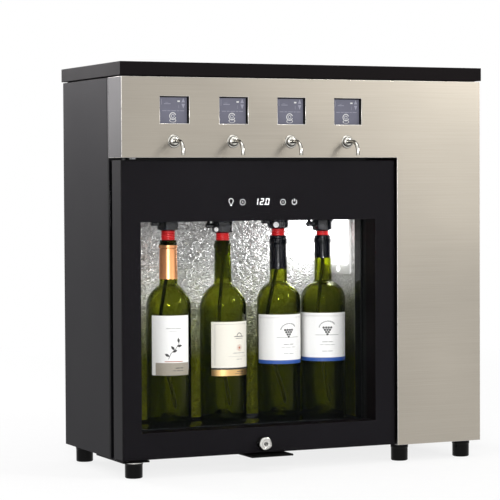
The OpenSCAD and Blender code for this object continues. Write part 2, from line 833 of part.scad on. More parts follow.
module main_board() {
    y1 = back_in_y - post_l;
    block(cyl_x - board_w / 2, cyl_x + board_w / 2, y1 - board_t, y1, board_z, board_z + board_h);
    for (sx = [-1, 1], sz = [-1, 1])
        rod_y(cyl_x + sx * (board_w / 2 - 6), y1, back_in_y, board_z + board_h / 2
            + sz * (board_h / 2 - 6), 3);
    for (c = chip_spots)
        block(cyl_x + c[0] - c[2] / 2, cyl_x + c[0] + c[2] / 2, y1 - board_t - c[4],
            y1 - board_t, board_z + board_h / 2 + c[1] - c[3] / 2,
            board_z + board_h / 2 + c[1] + c[3] / 2);
}

module circuit_boards()
    color("darkgreen") {
        for (x = tap_x)
            display_box(x, 0, lens_y + lens_t, lens_y + lens_t + board_t);
        main_board();
    }

module tap_flanges()
    color("silver")
        for (x = tap_x)
            translate([x, front_y, tap_z])
                rotate([90, 0, 0])
                    rotate_extrude()
                        polygon([[tube_r, 0], [flange_r, 0], [flange_r, 1.5],
                            [flange_r - 1, 2.5], [flange_r - 3, 3.2],
                            [flange_r - 4, flange_h - 1], [flange_r - 5, flange_h],
                            [tube_r, flange_h]]);

// Pouring tube of radius r, from the hose barb to the mouth
module pouring_tube(x, r, over) {
    rod_y(x, tap_mid_y + bend_r, face_y + shank_l + barb_l + over, tap_z, r);
    translate([x, tap_mid_y + bend_r, tap_z - bend_r])
        rotate([0, -90, 0])
            rotate([0, 0, -90])
                rotate_extrude(angle = 90)
                    translate([bend_r, 0])
                        circle(r = r);
    rod_z(x, tap_mid_y, tap_z - bend_r - tip_l - over, tap_z - bend_r, r);
}

module tap_spouts()
    color("silver")
        for (x = tap_x)
            difference() {
                union() {
                    pouring_tube(x, tube_r, 0);
                    rod_y(x, front_y, face_y + shank_l, tap_z, shank_r);
                }
                pouring_tube(x, tube_r - tube_wall, 1);
            }

module tap_nuts()
    color("goldenrod")
        for (x = tap_x)
            difference() {
                translate([x, face_y + nut_t, tap_z])
                    rotate([90, 30, 0])
                        cylinder(r = nut_r, h = nut_t, $fn = 6);
                rod_y(x, face_y - 1, face_y + nut_t + 1, tap_z, shank_r);
            }

// ---- wine valves, manifold and hoses ----

valve_y1 = valve_y0 + valve_d;
module wine_valves()
    color([0.2, 0.2, 0.22])
        for (x = tap_x) {
            // Foot on the shelf behind the front frame, and the body over the frame's edge
            block(x - valve_w / 2, x + valve_w / 2, frame_back_y, valve_y1, bay_z, tap_z);
            block(x - valve_w / 2, x + valve_w / 2, valve_y0, valve_y1, upper_plate_z, valve_z1);
            rod_y(x, valve_y0 - port_l, valve_y1 + port_l, tap_z, tube_r);
            rod_z(x, (valve_y0 + valve_y1) / 2, valve_z1 - 1, valve_z1 + coil_h, coil_r);
        }

manifold_x0 = bottle_x[0] - port_out - 20;
manifold_x1 = bottle_x[3] - port_out + 30;
gas_valve_side = 18;
gas_valve_h = 30;
module gas_manifold()
    color("goldenrod") {
        block(manifold_x0, manifold_x1, manifold_y, manifold_y + manifold_d, bay_z,
            bay_z + manifold_h);
        for (i = [0:3]) {
            rod_y(bottle_x[i] - port_out, manifold_y - port_l, manifold_y + 1, gas_port_z,
                gas_hose_r);
            translate([bottle_x[i] - port_out, manifold_y + manifold_d / 2, bay_z + manifold_h - 1])
                linear_extrude(gas_valve_h + 1)
                    square(gas_valve_side, center = true);
        }
        rod_x(manifold_x1 - 1, manifold_x1 + port_l, manifold_y + manifold_d / 2, gas_port_z,
            gas_hose_r);
    }

mouth_z = [for (i = [0:3]) tray_z + bottle_h[i]];
head_z = [for (i = [0:3]) mouth_z[i] + seal_show[i]];
hose_start_z = [for (i = [0:3]) head_z[i] + head_h + neck_up];
gas_start_z = [for (i = [0:3]) head_z[i] + port_z + barb_up];
hose_wall = 1.4;

// From the stopper straight up through the ceiling, then over into the back of its valve
function wine_path(i) =
    let (a = [bottle_x[i], bottle_y[i], hose_start_z[i]], b = [a[0], a[1], bay_z],
        d = [tap_x[i], valve_y1 + port_l, tap_z])
        concat([for (k = [0:3]) a + (b - a) * k / 4],
            bezier_path(b, b + [0, 0, 46], d + [0, 54, 0], d + [0, 4, 0], 13), [d]);

function gas_path(i) =
    let (a = [bottle_x[i] - port_out, bottle_y[i], gas_start_z[i]], b = [a[0], a[1], shelf_z],
        d = [a[0], manifold_y - port_l, gas_port_z])
        concat([for (k = [0:3]) a + (b - a) * k / 4],
            bezier_path(b, [b[0], b[1], gas_port_z], [b[0], b[1], gas_port_z] + [0, 6, 0],
                d - [0, 4, 0], 7), [d]);

module wine_hoses()
    color([0.85, 0.85, 0.8]) {
        for (i = [0:3])
            swept_tube(wine_path(i), wine_hose_r);
        for (x = tap_x)
            difference() {
                rod_y(x, face_y + shank_l, valve_y0, tap_z, tube_r + hose_wall);
                rod_y(x, face_y + shank_l - 1, valve_y0 + 1, tap_z, tube_r);
            }
    }

reg_port_z = reg_z + 18;
feed_start = [cyl_x, cyl_y + regulator_r + port_l, reg_port_z];
feed_end = [manifold_x1 + port_l, manifold_y + manifold_d / 2, gas_port_z];
feed_path = [feed_start, feed_start + [0, 8, 0], feed_start + [0, 17, 0], feed_start + [0, 34, 8],
    feed_start + [0, 46, 30], feed_start + [0, 52, 60], [cyl_x - 2, feed_end[1] - 12, bay_z - 30],
    [cyl_x - 14, feed_end[1] - 4, bay_z - 2], [cyl_x - 38, feed_end[1], bay_z + 14],
    [cyl_x - 66, feed_end[1], bay_z + 16], feed_end + [42, 0, 1],
    feed_end + [20, 0, 0], feed_end + [8, 0, 0], feed_end];

module gas_hoses()
    color([0.1, 0.1, 0.6]) {
        for (i = [0:3])
            swept_tube(gas_path(i), gas_hose_r);
        swept_tube(spline_path(feed_path, 4), gas_hose_r);
    }

// ---- stoppers and dip tubes ----

module stopper_heads()
    color([0.06, 0.06, 0.07])
        for (i = [0:3])
            translate([bottle_x[i], bottle_y[i], head_z[i]]) {
                rotate_extrude()
                    polygon([[0, 0], [head_r - 6, 0], [head_r - 1.5, 3], [head_r, 7],
                        [head_r, head_h - 5], [head_r - 4, head_h], [wine_hose_r + 2, head_h],
                        [wine_hose_r, head_h + 2], [wine_hose_r, head_h + neck_up],
                        [0, head_h + neck_up]]);
                rod_x(-port_out - 4, -head_r + 2, 0, port_z, 4);
                rod_z(-port_out, 0, port_z, port_z + barb_up, gas_hose_r);
            }

module stopper_seals()
    color("red")
        for (i = [0:3])
            translate([bottle_x[i], bottle_y[i], mouth_z[i]])
                rotate_extrude()
                    polygon(concat([[dip_r, -seal_l], [mouth_r - 1.6, -seal_l]],
                        [for (k = [0:3], s = [0, 1])
                            [mouth_r - (s == 0 ? 0.5 : 1.3), -seal_l + 4 + k * 5 + s * 2]],
                        [[mouth_r - 0.4, -1], [mouth_r - 0.4, 0], [seal_r - 0.6, 0],
                            [seal_r, 1.5], [seal_r - 0.7, seal_show[i] / 2],
                            [seal_r, seal_show[i] - 1.5], [seal_r, seal_show[i]],
                            [dip_r, seal_show[i]]]));

dip_end = 12;
// The tube drops straight through the seal, then bows to one side and back
function dip_path(i) =
    let (top = head_z[i], low = mouth_z[i] - seal_l - 2, foot = tray_z + punt_h + 8)
        [for (k = [0:15])
            let (t = k < 3 ? 0 : (k - 2) / 13, z = k == 0 ? top : low - (low - foot) * t)
                [bottle_x[i] + dip_bow[i] * pow(sin(180 * t), 2) + dip_end * t * t * t,
                    bottle_y[i], k == 1 ? mouth_z[i] : z]];

module dip_tubes()
    color([0.05, 0.05, 0.05])
        for (i = [0:3])
            swept_tube(dip_path(i), dip_r - 0.05);

// ---- bottles ----

function neck_r_at(i, z) =
    neck_foot_r + (neck_top_r - neck_foot_r) * (z - bottle_neck_z) / (bottle_h[i] - bottle_neck_z);

// Outer outline from a height in the neck to the mouth, with the lip ring, grown by g
function neck_outline(i, z0, g) =
    let (h = bottle_h[i], lip_z1 = h - lip_drop, lip_z0 = lip_z1 - lip_h)
        [[neck_r_at(i, z0) + g, z0], [neck_r_at(i, lip_z0) + g, lip_z0],
            [neck_top_r + lip_out + g, lip_z0 + lip_edge],
            [neck_top_r + lip_out + g, lip_z1 - lip_edge], [neck_top_r + g, lip_z1],
            [neck_top_r + g, h - lip_edge], [neck_top_r - lip_edge + g, h]];

heel_r = 6;
punt_h = 18;
// Radius of the punt's round top and inset of the ring that the bottle stands on
punt_r = 10;
foot_inset = 12;
// Lip ring under the mouth: height, distance to the mouth and how far it stands out
lip_h = 8;
lip_drop = 5;
lip_out = 1.2;
lip_edge = 1;
// Length of the straight bore under the mouth
bore_l = 30;
// Share of the shoulder's radii that the arc into the neck has, and the steps of both arcs
neck_fillet = 0.17;
wide_n = 9;
fillet_n = 3;
shoulder_n = wide_n + fillet_n;
// The shoulder is a wide arc over the body and a small one into the neck, moved in by g
function shoulder(i, g) =
    let (across = bottle_r[i] - neck_foot_r, rise = bottle_neck_z - bottle_body_h,
        turn = 2 * atan2(across, rise), small = neck_fillet * rise / sin(turn),
        wide = rise / sin(turn) - small)
        concat(
            [for (k = [0:wide_n])
                let (a = turn * k / wide_n)
                    [bottle_r[i] - wide + (wide - g) * cos(a), bottle_body_h + (wide - g) * sin(a)]],
            [for (k = [1:fillet_n])
                let (a = turn * (1 - k / fillet_n))
                    [neck_foot_r + small - (small + g) * cos(a),
                        bottle_neck_z - (small + g) * sin(a)]]);

module bottle(i)
    translate([bottle_x[i], bottle_y[i], tray_z])
        rotate_extrude()
            polygon(concat(
                [[0, punt_h], [punt_r, punt_h - bottle_wall], [bottle_r[i] - foot_inset - 2, 2],
                    [bottle_r[i] - foot_inset, 0]],
                [for (a = [-90:18:0])
                    [bottle_r[i] - heel_r + heel_r * cos(a), heel_r + heel_r * sin(a)]],
                shoulder(i, 0),
                neck_outline(i, bottle_neck_z + 1, 0),
                [[mouth_r, bottle_h[i]], [mouth_r, bottle_h[i] - bore_l],
                    [neck_foot_r - bottle_wall, bottle_neck_z]],
                [for (k = [shoulder_n - 1:-1:0]) shoulder(i, bottle_wall)[k]],
                [[bottle_r[i] - bottle_wall, heel_r + bottle_wall + 1],
                    [bottle_r[i] - foot_inset - 2, bottle_wall + 4],
                    [punt_r, punt_h + bottle_wall], [0, punt_h + bottle_wall + 2]]));

module wine_bottle_1() color([0.25, 0.35, 0.1]) bottle(0);
module wine_bottle_2() color([0.25, 0.35, 0.1]) bottle(1);
module wine_bottle_3() color([0.25, 0.35, 0.1]) bottle(2);
module wine_bottle_4() color([0.25, 0.35, 0.1]) bottle(3);

module bottle_capsules()
    color([0.75, 0.4, 0.15])
        for (i = [0:3])
            if (capsule_l[i] > 0)
                translate([bottle_x[i], bottle_y[i], tray_z])
                    rotate_extrude()
                        polygon(concat(neck_outline(i, bottle_h[i] - capsule_l[i], 0),
                            [for (k = [6:-1:0])
                                neck_outline(i, bottle_h[i] - capsule_l[i], label_t)[k]]));

module bottle_labels()
    color("ivory")
        for (i = [0:3])
            translate([bottle_x[i], bottle_y[i], tray_z + label_z0[i]])
                rotate([0, 0, -90 - label_turn[i] - label_half[i]])
                    rotate_extrude(angle = 2 * label_half[i])
                        translate([bottle_r[i], 0])
                            square([label_t, label_z1[i] - label_z0[i]]);

// ---- gas supply ----

module gas_cylinder()
    color([0.55, 0.6, 0.62])
        translate([cyl_x, cyl_y, cyl_z])
            rotate_extrude()
                polygon(concat([[0, 0], [cylinder_r - 6, 0]],
                    [for (a = [-90:18:0]) [cylinder_r - 6 + 6 * cos(a), 6 + 6 * sin(a)]],
                    [for (a = [0:10:60])
                        [cylinder_r - 30 + 30 * cos(a), cylinder_h - 30 + 30 * sin(a)]],
                    [[neck_r, cylinder_h], [neck_r, cylinder_h + neck_h],
                        [0, cylinder_h + neck_h]]));

clip_z = cyl_z + cylinder_h * 0.7;
clip_h = 18;
// Distance from the cylinder's axis to the open side of the clip
clip_open = 24;
module cylinder_holder()
    color([0.1, 0.1, 0.11]) {
        translate([cyl_x, cyl_y, 0])
            difference() {
                rod_z(0, 0, floor_z, cyl_z + cup_h, cylinder_r + cyl_gap + cup_wall);
                rod_z(0, 0, cyl_z, cyl_z + cup_h + 1, cylinder_r + cyl_gap);
            }
        difference() {
            union() {
                rod_z(cyl_x, cyl_y, clip_z, clip_z + clip_h, cylinder_r + cyl_gap + cup_wall);
                block(column_in_x, cyl_x - cylinder_r + 10, cyl_y + 6, cyl_y + 24, clip_z,
                    clip_z + clip_h);
                block(column_in_x, column_in_x + 3, frame_back_y + 4, cyl_y + 40, clip_z,
                    clip_z + clip_h);
            }
            rod_z(cyl_x, cyl_y, clip_z - 1, clip_z + clip_h + 1, cylinder_r + cyl_gap);
            block(cyl_x + clip_open, in_x, cyl_y - 2 * cylinder_r, cyl_y + 2 * cylinder_r,
                clip_z - 1, clip_z + clip_h + 1);
        }
    }

gauge_r = 20;
module gas_regulator()
    color("goldenrod") {
        difference() {
            union() {
                rod_z(cyl_x, cyl_y, reg_z, knob_z, regulator_r);
                rod_y(cyl_x, cyl_y + regulator_r - 2, cyl_y + regulator_r + port_l, reg_port_z,
                    gas_hose_r);
                rod_y(cyl_x, cyl_y - regulator_r - 8, cyl_y - regulator_r + 2, reg_port_z, 4);
            }
            rod_z(cyl_x, cyl_y, knob_z - spindle_l, knob_z + 1, spindle_r + run_gap);
        }
        rod_y(cyl_x, cyl_y - regulator_r - 20, cyl_y - regulator_r - 8, reg_port_z, gauge_r);
    }

knob_gap = 0.4;
module regulator_knob()
    color([0.1, 0.1, 0.11])
        difference() {
            union() {
                rod_z(cyl_x, cyl_y, knob_z - spindle_l + knob_gap, knob_z + knob_gap + 1, spindle_r);
                rod_z(cyl_x, cyl_y, knob_z + knob_gap, knob_z + knob_h, knob_r);
            }
            for (a = [0:30:330])
                translate([cyl_x, cyl_y, 0])
                    rotate([0, 0, a])
                        rod_z(knob_r + 1.2, 0, knob_z + 3, knob_z + knob_h + 1, 2.4);
        }

// ---- power supply, cooling stack and fan ----

psu_w = 104;
psu_d = 46;
psu_h = 170;
// Room for the inlet's and the switch's wires under the supply
psu_rise = 60;
psu_z = power_z + psu_rise;
module power_supply()
    color("silver")
        difference() {
            block(cyl_x - psu_w / 2, cyl_x + psu_w / 2, back_in_y - psu_d, back_in_y, psu_z,
                psu_z + psu_h);
            for (k = [0:8], sx = [-1, 1])
                block(cyl_x + sx * psu_w / 2 - 4, cyl_x + sx * psu_w / 2 + 4, back_in_y - psu_d + 8,
                    back_in_y - 8, psu_z + 20 + k * 14, psu_z + 26 + k * 14);
        }

module centred_block(side, y0, y1)
    block(fan_x - side / 2, fan_x + side / 2, y0, y1, fan_z - side / 2, fan_z + side / 2);

module cold_block()
    color("silver")
        centred_block(cold_side, cav_y1 + sheet_t, foam_y1 - module_t);

module peltier_module()
    color("white")
        centred_block(module_side, foam_y1 - module_t, foam_y1);

fin_t = 1.6;
module heat_sink()
    color("silver") {
        centred_block(fan_side, sink_y, sink_y + sink_base_t);
        for (k = [0:fin_n - 1])
            translate([fan_x - fan_side / 2 + k * (fan_side - fin_t) / (fin_n - 1), sink_y, 0])
                block(0, fin_t, sink_base_t - eps, sink_d, fan_z - fan_side / 2,
                    fan_z + fan_side / 2);
    }

spider_t = 4;
module fan_frame()
    color([0.08, 0.08, 0.09])
        difference() {
            union() {
                difference() {
                    centred_block(fan_side, fan_y0, fan_y1);
                    rod_y(fan_x, fan_y0 - 1, fan_y1 + 1, fan_z, bore_r);
                }
                rod_y(fan_x, fan_y1 - spider_t, fan_y1, fan_z, hub_r);
                for (a = [45:90:315])
                    translate([fan_x, 0, fan_z])
                        rotate([0, a, 0])
                            block(hub_r - 2, bore_r + 2, fan_y1 - spider_t, fan_y1, -2.5, 2.5);
            }
            rod_y(fan_x, fan_y1 - spider_t - 1, fan_y1 + 1, fan_z, axle_r + run_gap);
        }

blade_gap = 1.5;
module fan_rotor()
    color([0.12, 0.12, 0.13]) {
        rod_y(fan_x, fan_y0 + 2, fan_y1 - spider_t - 1, fan_z, hub_r);
        rod_y(fan_x, fan_y0 + 2, fan_y1 - 0.5, fan_z, axle_r);
        for (k = [0:blade_n - 1])
            translate([fan_x, (fan_y0 + fan_y1 - spider_t) / 2, fan_z])
                rotate([0, 360 * k / blade_n, 0])
                    translate([hub_r - 2, 0, 0])
                        rotate([35, 0, 0])
                            translate([0, -1, -12])
                                cube([bore_r - blade_gap - hub_r, 2, 24]);
    }

pin_spots = [[-7, -2.5], [7, -2.5], [0, 3]];
module power_inlet()
    color([0.06, 0.06, 0.07]) {
        difference() {
            union() {
                block(inlet_x - inlet_w / 2, inlet_x + inlet_w / 2, cab_y1, cab_y1 + rim_t,
                    power_z - inlet_h / 2, power_z + inlet_h / 2);
                block(inlet_x - inlet_in_w / 2 - 2, inlet_x + inlet_in_w / 2 + 2,
                    cab_y1 - socket_d - 3, cab_y1 + eps, power_z - inlet_in_h / 2 - 2,
                    power_z + inlet_in_h / 2 + 2);
            }
            block(inlet_x - inlet_in_w / 2, inlet_x + inlet_in_w / 2, cab_y1 - socket_d,
                cab_y1 + rim_t + 1, power_z - inlet_in_h / 2, power_z + inlet_in_h / 2);
        }
        for (p = pin_spots)
            block(inlet_x + p[0] - 1, inlet_x + p[0] + 1, cab_y1 - socket_d - eps,
                cab_y1 - 3, power_z + p[1] - 2, power_z + p[1] + 2);
    }

pocket_w = rocker_w + 1;
pocket_h = rocker_l + 3.5;
stub_r = 1.5;
module switch_housing()
    color([0.06, 0.06, 0.07])
        difference() {
            union() {
                block(switch_x - switch_w / 2, switch_x + switch_w / 2, cab_y1, cab_y1 + rim_t - 0.5,
                    power_z - switch_h / 2, power_z + switch_h / 2);
                block(switch_x - switch_w / 2 + 2, switch_x + switch_w / 2 - 2, cab_y1 - 20,
                    cab_y1 + eps, power_z - switch_h / 2 + 2, power_z + switch_h / 2 - 2);
            }
            block(switch_x - pocket_w / 2, switch_x + pocket_w / 2, pivot_y - 8, cab_y1 + rim_t,
                power_z - pocket_h / 2, power_z + pocket_h / 2);
            rod_x(switch_x - pocket_w / 2 - 1.5, switch_x + pocket_w / 2 + 1.5, pivot_y, power_z,
                stub_r + run_gap);
        }

module switch_rocker()
    color([0.7, 0.1, 0.08])
        translate([switch_x, pivot_y, power_z])
            rotate([-rocker_tilt, 0, 0]) {
                rotate([90, 0, 90])
                    linear_extrude(rocker_w, center = true)
                        polygon([[0, -rocker_r], [3, -rocker_l / 2], [6.2, -rocker_l / 2],
                            [4, 0], [6.2, rocker_l / 2], [3, rocker_l / 2], [0, rocker_r],
                            [-rocker_r, 0]]);
                rod_x(-rocker_w / 2 - 1.5, rocker_w / 2 + 1.5, 0, 0, stub_r);
            }

// ---- door ----

frame_y0 = front_y + glass_t;
board_pocket = [134, 36, 12];
board_mid_z = win_z1 + 29;
module door_frame()
    color([0.05, 0.05, 0.06])
        difference() {
            block(door_x0, door_x1, frame_y0, door_y1, door_z0, door_z1);
            block(win_x0, win_x1, frame_y0 - 1, door_y1 + 1, win_z0, win_z1);
            block(win_x0 - pane_rebate, win_x1 + pane_rebate, pane_y0, door_y1 + 1,
                win_z0 - pane_rebate, win_z1 + pane_rebate);
            // Pocket of the control board
            block(door_mid_x - board_pocket[0] / 2, door_mid_x + board_pocket[0] / 2, frame_y0 - 1,
                frame_y0 + board_pocket[2], board_mid_z - board_pocket[1] / 2,
                board_mid_z + board_pocket[1] / 2);
            // Lock bore and the cam's room, open at the door's lower edge
            rod_y(door_mid_x, frame_y0 - 1, cam_y0, lock_z, barrel_r);
            block(door_mid_x - cam_hub_r - cam_room, door_mid_x + tongue_sweep_r + cam_room,
                cam_y0 - cam_room, cam_y1 + cam_room, door_z0 - 1, lock_z + cam_hub_r + cam_room);
            // Seats of the hinge bushes
            rod_z(pin_x, pin_y, door_z0 - 1, door_z0 + bush_h, bush_r);
            rod_z(pin_x, pin_y, door_z1 - bush_h, door_z1 + 1, bush_r);
        }

module door_glass()
    color([0.6, 0.65, 0.65, 0.35])
        difference() {
            block(door_x0, door_x1, front_y, frame_y0, door_z0, door_z1);
            rod_y(door_mid_x, front_y - 1, frame_y0 + 1, lock_z, barrel_r);
        }

module inner_glass()
    color([0.6, 0.65, 0.65, 0.35])
        block(win_x0 - pane_rebate, win_x1 + pane_rebate, pane_y0, door_y1,
            win_z0 - pane_rebate, win_z1 + pane_rebate);

module door_gasket()
    color([0.08, 0.08, 0.08])
        window_frame(cav_x0 - gasket_offset - gasket_w, cav_x1 + gasket_offset + gasket_w,
            cav_z0 - gasket_offset - gasket_w, cav_z1 + gasket_offset + gasket_w, gasket_w,
            door_y1, gasket_y1);

digits_w = 30;
digits_h = 13.5;
module control_board()
    color("darkgreen") {
        y1 = frame_y0 + board_pocket[2];
        block(door_mid_x - board_pocket[0] / 2 + 2, door_mid_x + board_pocket[0] / 2 - 2,
            y1 - board_t, y1, board_mid_z - board_pocket[1] / 2 + 2,
            board_mid_z + board_pocket[1] / 2 - 2);
        block(door_mid_x - digits_w / 2, door_mid_x + digits_w / 2, frame_y0 + 1, y1 - board_t,
            board_mid_z - digits_h / 2, board_mid_z + digits_h / 2);
    }

module lock_barrel()
    color("silver")
        difference() {
            union() {
                rod_y(door_mid_x, front_y, cam_y0 - cam_room, lock_z, barrel_r);
                rod_y(door_mid_x, front_y - bezel_out + 2, front_y, lock_z, bezel_r);
                translate([door_mid_x, front_y - bezel_out + 2, lock_z])
                    rotate([90, 0, 0])
                        cylinder(r1 = bezel_r, r2 = bezel_r - 2, h = 2);
            }
            rod_y(door_mid_x, front_y - bezel_out - 1, cam_y0 + 1, lock_z, plug_r + run_gap);
        }

module lock_plug()
    color("silver")
        difference() {
            rod_y(door_mid_x, front_y - bezel_out + 0.4, cam_y0, lock_z, plug_r);
            block(door_mid_x - 3.5, door_mid_x + 3.5, front_y - bezel_out - 1,
                front_y - bezel_out + 9, lock_z - 1, lock_z + 1);
        }

// The tongue points sideways when the door is free, and turns down into the keeper
module lock_cam()
    color("silver") {
        rod_y(door_mid_x, cam_y0, cam_y1, lock_z, cam_hub_r);
        block(door_mid_x, door_mid_x + tongue_l, cam_y0, cam_y1, lock_z - tongue_w / 2,
            lock_z + tongue_w / 2);
    }

module hinge_bush()
    difference() {
        cylinder(r = bush_r, h = bush_h);
        translate([0, 0, -1])
            cylinder(r = pin_r + run_gap, h = bush_h + 2);
    }

module hinge_bushes()
    color("ivory") {
        translate([pin_x, pin_y, door_z0])
            hinge_bush();
        translate([pin_x, pin_y, door_z1 - bush_h])
            hinge_bush();
    }

side_panel_left();
side_panel_right();
back_panel();
base_pan();
top_lid();
front_fascia();
front_frame();
liner();
insulation();
divider_wall();
valve_shelf();
bottle_tray();
feet();
body_screws();
hinge_plates();
hinge_pins();
lock_keeper();
lamp_base();
lamp_cover();
display_housings();
display_lenses();
circuit_boards();
tap_flanges();
tap_spouts();
tap_nuts();
wine_valves();
gas_manifold();
wine_hoses();
gas_hoses();
stopper_heads();
stopper_seals();
dip_tubes();
wine_bottle_1();
wine_bottle_2();
wine_bottle_3();
wine_bottle_4();
bottle_capsules();
bottle_labels();
gas_cylinder();
cylinder_holder();
gas_regulator();
power_supply();
peltier_module();
cold_block();
heat_sink();
fan_frame();
power_inlet();
switch_housing();
door_frame();
door_glass();
inner_glass();
door_gasket();
control_board();
lock_barrel();
hinge_bushes();
lock_plug();
lock_cam();
fan_rotor();
switch_rocker();
regulator_knob();
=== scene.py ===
"""Looks of the four-bottle wine dispenser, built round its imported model.

Lengths are millimetres in the row's frame: +X right, -Y out of the door, +Z up.
Meshes are scaled to metres when they are made.
"""
import json
import math

import bmesh
import bpy
from mathutils import Matrix, Vector


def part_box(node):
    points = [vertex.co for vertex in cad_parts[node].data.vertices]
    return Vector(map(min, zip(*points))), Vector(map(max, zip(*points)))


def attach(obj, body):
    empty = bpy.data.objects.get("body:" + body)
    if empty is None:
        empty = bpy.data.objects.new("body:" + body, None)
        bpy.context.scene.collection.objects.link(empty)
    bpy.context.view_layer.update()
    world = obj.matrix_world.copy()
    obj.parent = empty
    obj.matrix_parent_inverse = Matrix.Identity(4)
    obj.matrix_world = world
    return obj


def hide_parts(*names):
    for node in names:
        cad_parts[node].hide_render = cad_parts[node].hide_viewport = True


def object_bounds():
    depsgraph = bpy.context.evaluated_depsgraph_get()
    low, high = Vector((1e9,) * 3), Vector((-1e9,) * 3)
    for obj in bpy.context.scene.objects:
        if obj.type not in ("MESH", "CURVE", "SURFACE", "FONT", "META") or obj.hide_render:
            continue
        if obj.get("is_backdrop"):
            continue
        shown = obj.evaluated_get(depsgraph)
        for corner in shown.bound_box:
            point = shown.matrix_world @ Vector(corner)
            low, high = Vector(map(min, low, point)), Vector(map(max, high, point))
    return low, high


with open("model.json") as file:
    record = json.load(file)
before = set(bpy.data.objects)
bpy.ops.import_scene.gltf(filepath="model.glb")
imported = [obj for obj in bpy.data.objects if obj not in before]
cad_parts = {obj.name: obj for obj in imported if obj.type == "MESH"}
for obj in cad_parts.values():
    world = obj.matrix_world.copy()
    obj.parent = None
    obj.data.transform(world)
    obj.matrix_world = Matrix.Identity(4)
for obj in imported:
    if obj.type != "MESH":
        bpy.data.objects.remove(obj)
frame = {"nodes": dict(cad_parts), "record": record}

MM = 0.001
cad_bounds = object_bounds()

RECORD = frame["record"]
BODY_OF = {n: b for b, nodes in RECORD["behaviour"]["bodies"].items() for n in nodes}
SLOT_OF = {s["node"]: s["material_slot"] for s in RECORD["subparts"]}


def box(node):
    """Lowest and highest corner of a CAD node, in millimetres."""
    low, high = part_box(node)
    return Vector(low) / MM, Vector(high) / MM


def centre(node):
    low, high = box(node)
    return (low + high) / 2


# ---------------------------------------------------------------- camera and light

CAMERA_AT = (-1484.3, -3124.5, 458.4)
CAMERA_TARGET = (-108.4, -127.0, 349.9)
CAMERA_ROLL = 0.28  # degrees, leaning to the right
SENSOR = 36.0
FOCAL_PIXELS = 2115.6
IMAGE_PIXELS = 500


def make_camera():
    data = bpy.data.cameras.new("camera")
    data.sensor_width = SENSOR
    data.lens = FOCAL_PIXELS / IMAGE_PIXELS * SENSOR
    data.clip_start = 0.05
    data.clip_end = 60
    camera = bpy.data.objects.new("camera", data)
    forward = (Vector(CAMERA_TARGET) - Vector(CAMERA_AT)).normalized()
    turn = forward.to_track_quat("-Z", "Y").to_matrix().to_4x4()
    roll = Matrix.Rotation(math.radians(-CAMERA_ROLL), 4, "Z")
    camera.matrix_world = Matrix.Translation(Vector(CAMERA_AT) * MM) @ turn @ roll
    bpy.context.scene.collection.objects.link(camera)
    bpy.context.scene.camera = camera


def seen_share(tree, unseen, seen):
    """The number unseen for light alone, and seen for what the camera, gloss and glass show."""
    rays = tree.nodes.new("ShaderNodeLightPath")
    value = rays.outputs["Is Camera Ray"]
    for ray in ("Is Glossy Ray", "Is Transmission Ray"):
        most = tree.nodes.new("ShaderNodeMath")
        most.operation = "MAXIMUM"
        tree.links.new(value, most.inputs[0])
        tree.links.new(rays.outputs[ray], most.inputs[1])
        value = most.outputs[0]
    level = tree.nodes.new("ShaderNodeMapRange")
    tree.links.new(value, level.inputs["Value"])
    level.inputs["To Min"].default_value = unseen
    level.inputs["To Max"].default_value = seen
    return level.outputs["Result"]


WORLD_LIGHT = 0.45  # of white


def make_world():
    """A white studio: 1 for what the camera, gloss and glass see, plainer for the light."""
    world = bpy.data.worlds.new("studio")
    world.use_nodes = True
    tree = world.node_tree
    sky = tree.nodes["Background"]
    sky.inputs["Color"].default_value = (1, 1, 1, 1)
    tree.links.new(seen_share(tree, WORLD_LIGHT, 1.0), sky.inputs["Strength"])
    bpy.context.scene.world = world


def area_light(name, at, target, width, height, watts, color=(1, 1, 1)):
    data = bpy.data.lights.new(name, "AREA")
    data.shape = "RECTANGLE"
    data.size = width * MM
    data.size_y = height * MM
    data.energy = watts
    data.color = color
    light = bpy.data.objects.new(name, data)
    aim = (Vector(target) - Vector(at)).to_track_quat("-Z", "Y").to_matrix().to_4x4()
    light.matrix_world = Matrix.Translation(Vector(at) * MM) @ aim
    bpy.context.scene.collection.objects.link(light)
    return light


LIT_POINT = (0, 0, 330)
# Name, place, side of the square, watts and colour
STUDIO = (("key_right", (2000, -2500, 1700), 700, 42, (1, 0.985, 0.95)),
          ("fill_front", (-1500, -3000, 900), 500, 66, (1, 1, 1)),
          ("rim_left", (-1300, 2400, 1300), 1000, 38, (1, 0.965, 1)),
          ("top", (0, -300, 2600), 1600, 20, (1, 1, 1)))
LAMP_WATTS = 0.18


def make_lights():
    for name, at, side, watts, color in STUDIO:
        area_light(name, at, LIT_POINT, side, side, watts, color)
    # The cabinet's own lamp, just in front of its cover on the right wall
    low, high = box("lamp_cover")
    at = Vector((low.x - 1, (low.y + high.y) / 2, (low.z + high.z) / 2))
    lamp = area_light("cabinet_lamp", at, at - Vector((1, 0, 0)), high.z - low.z - 20,
                      high.y - low.y - 10, LAMP_WATTS)
    lamp.visible_camera = False


FLOOR_REACH = 30.0  # metres each way
WHITE_FROM = (0.5, 2.4)  # metres from the middle between which the floor turns all white
WHITE_SHARE = (0.82, 1.0)


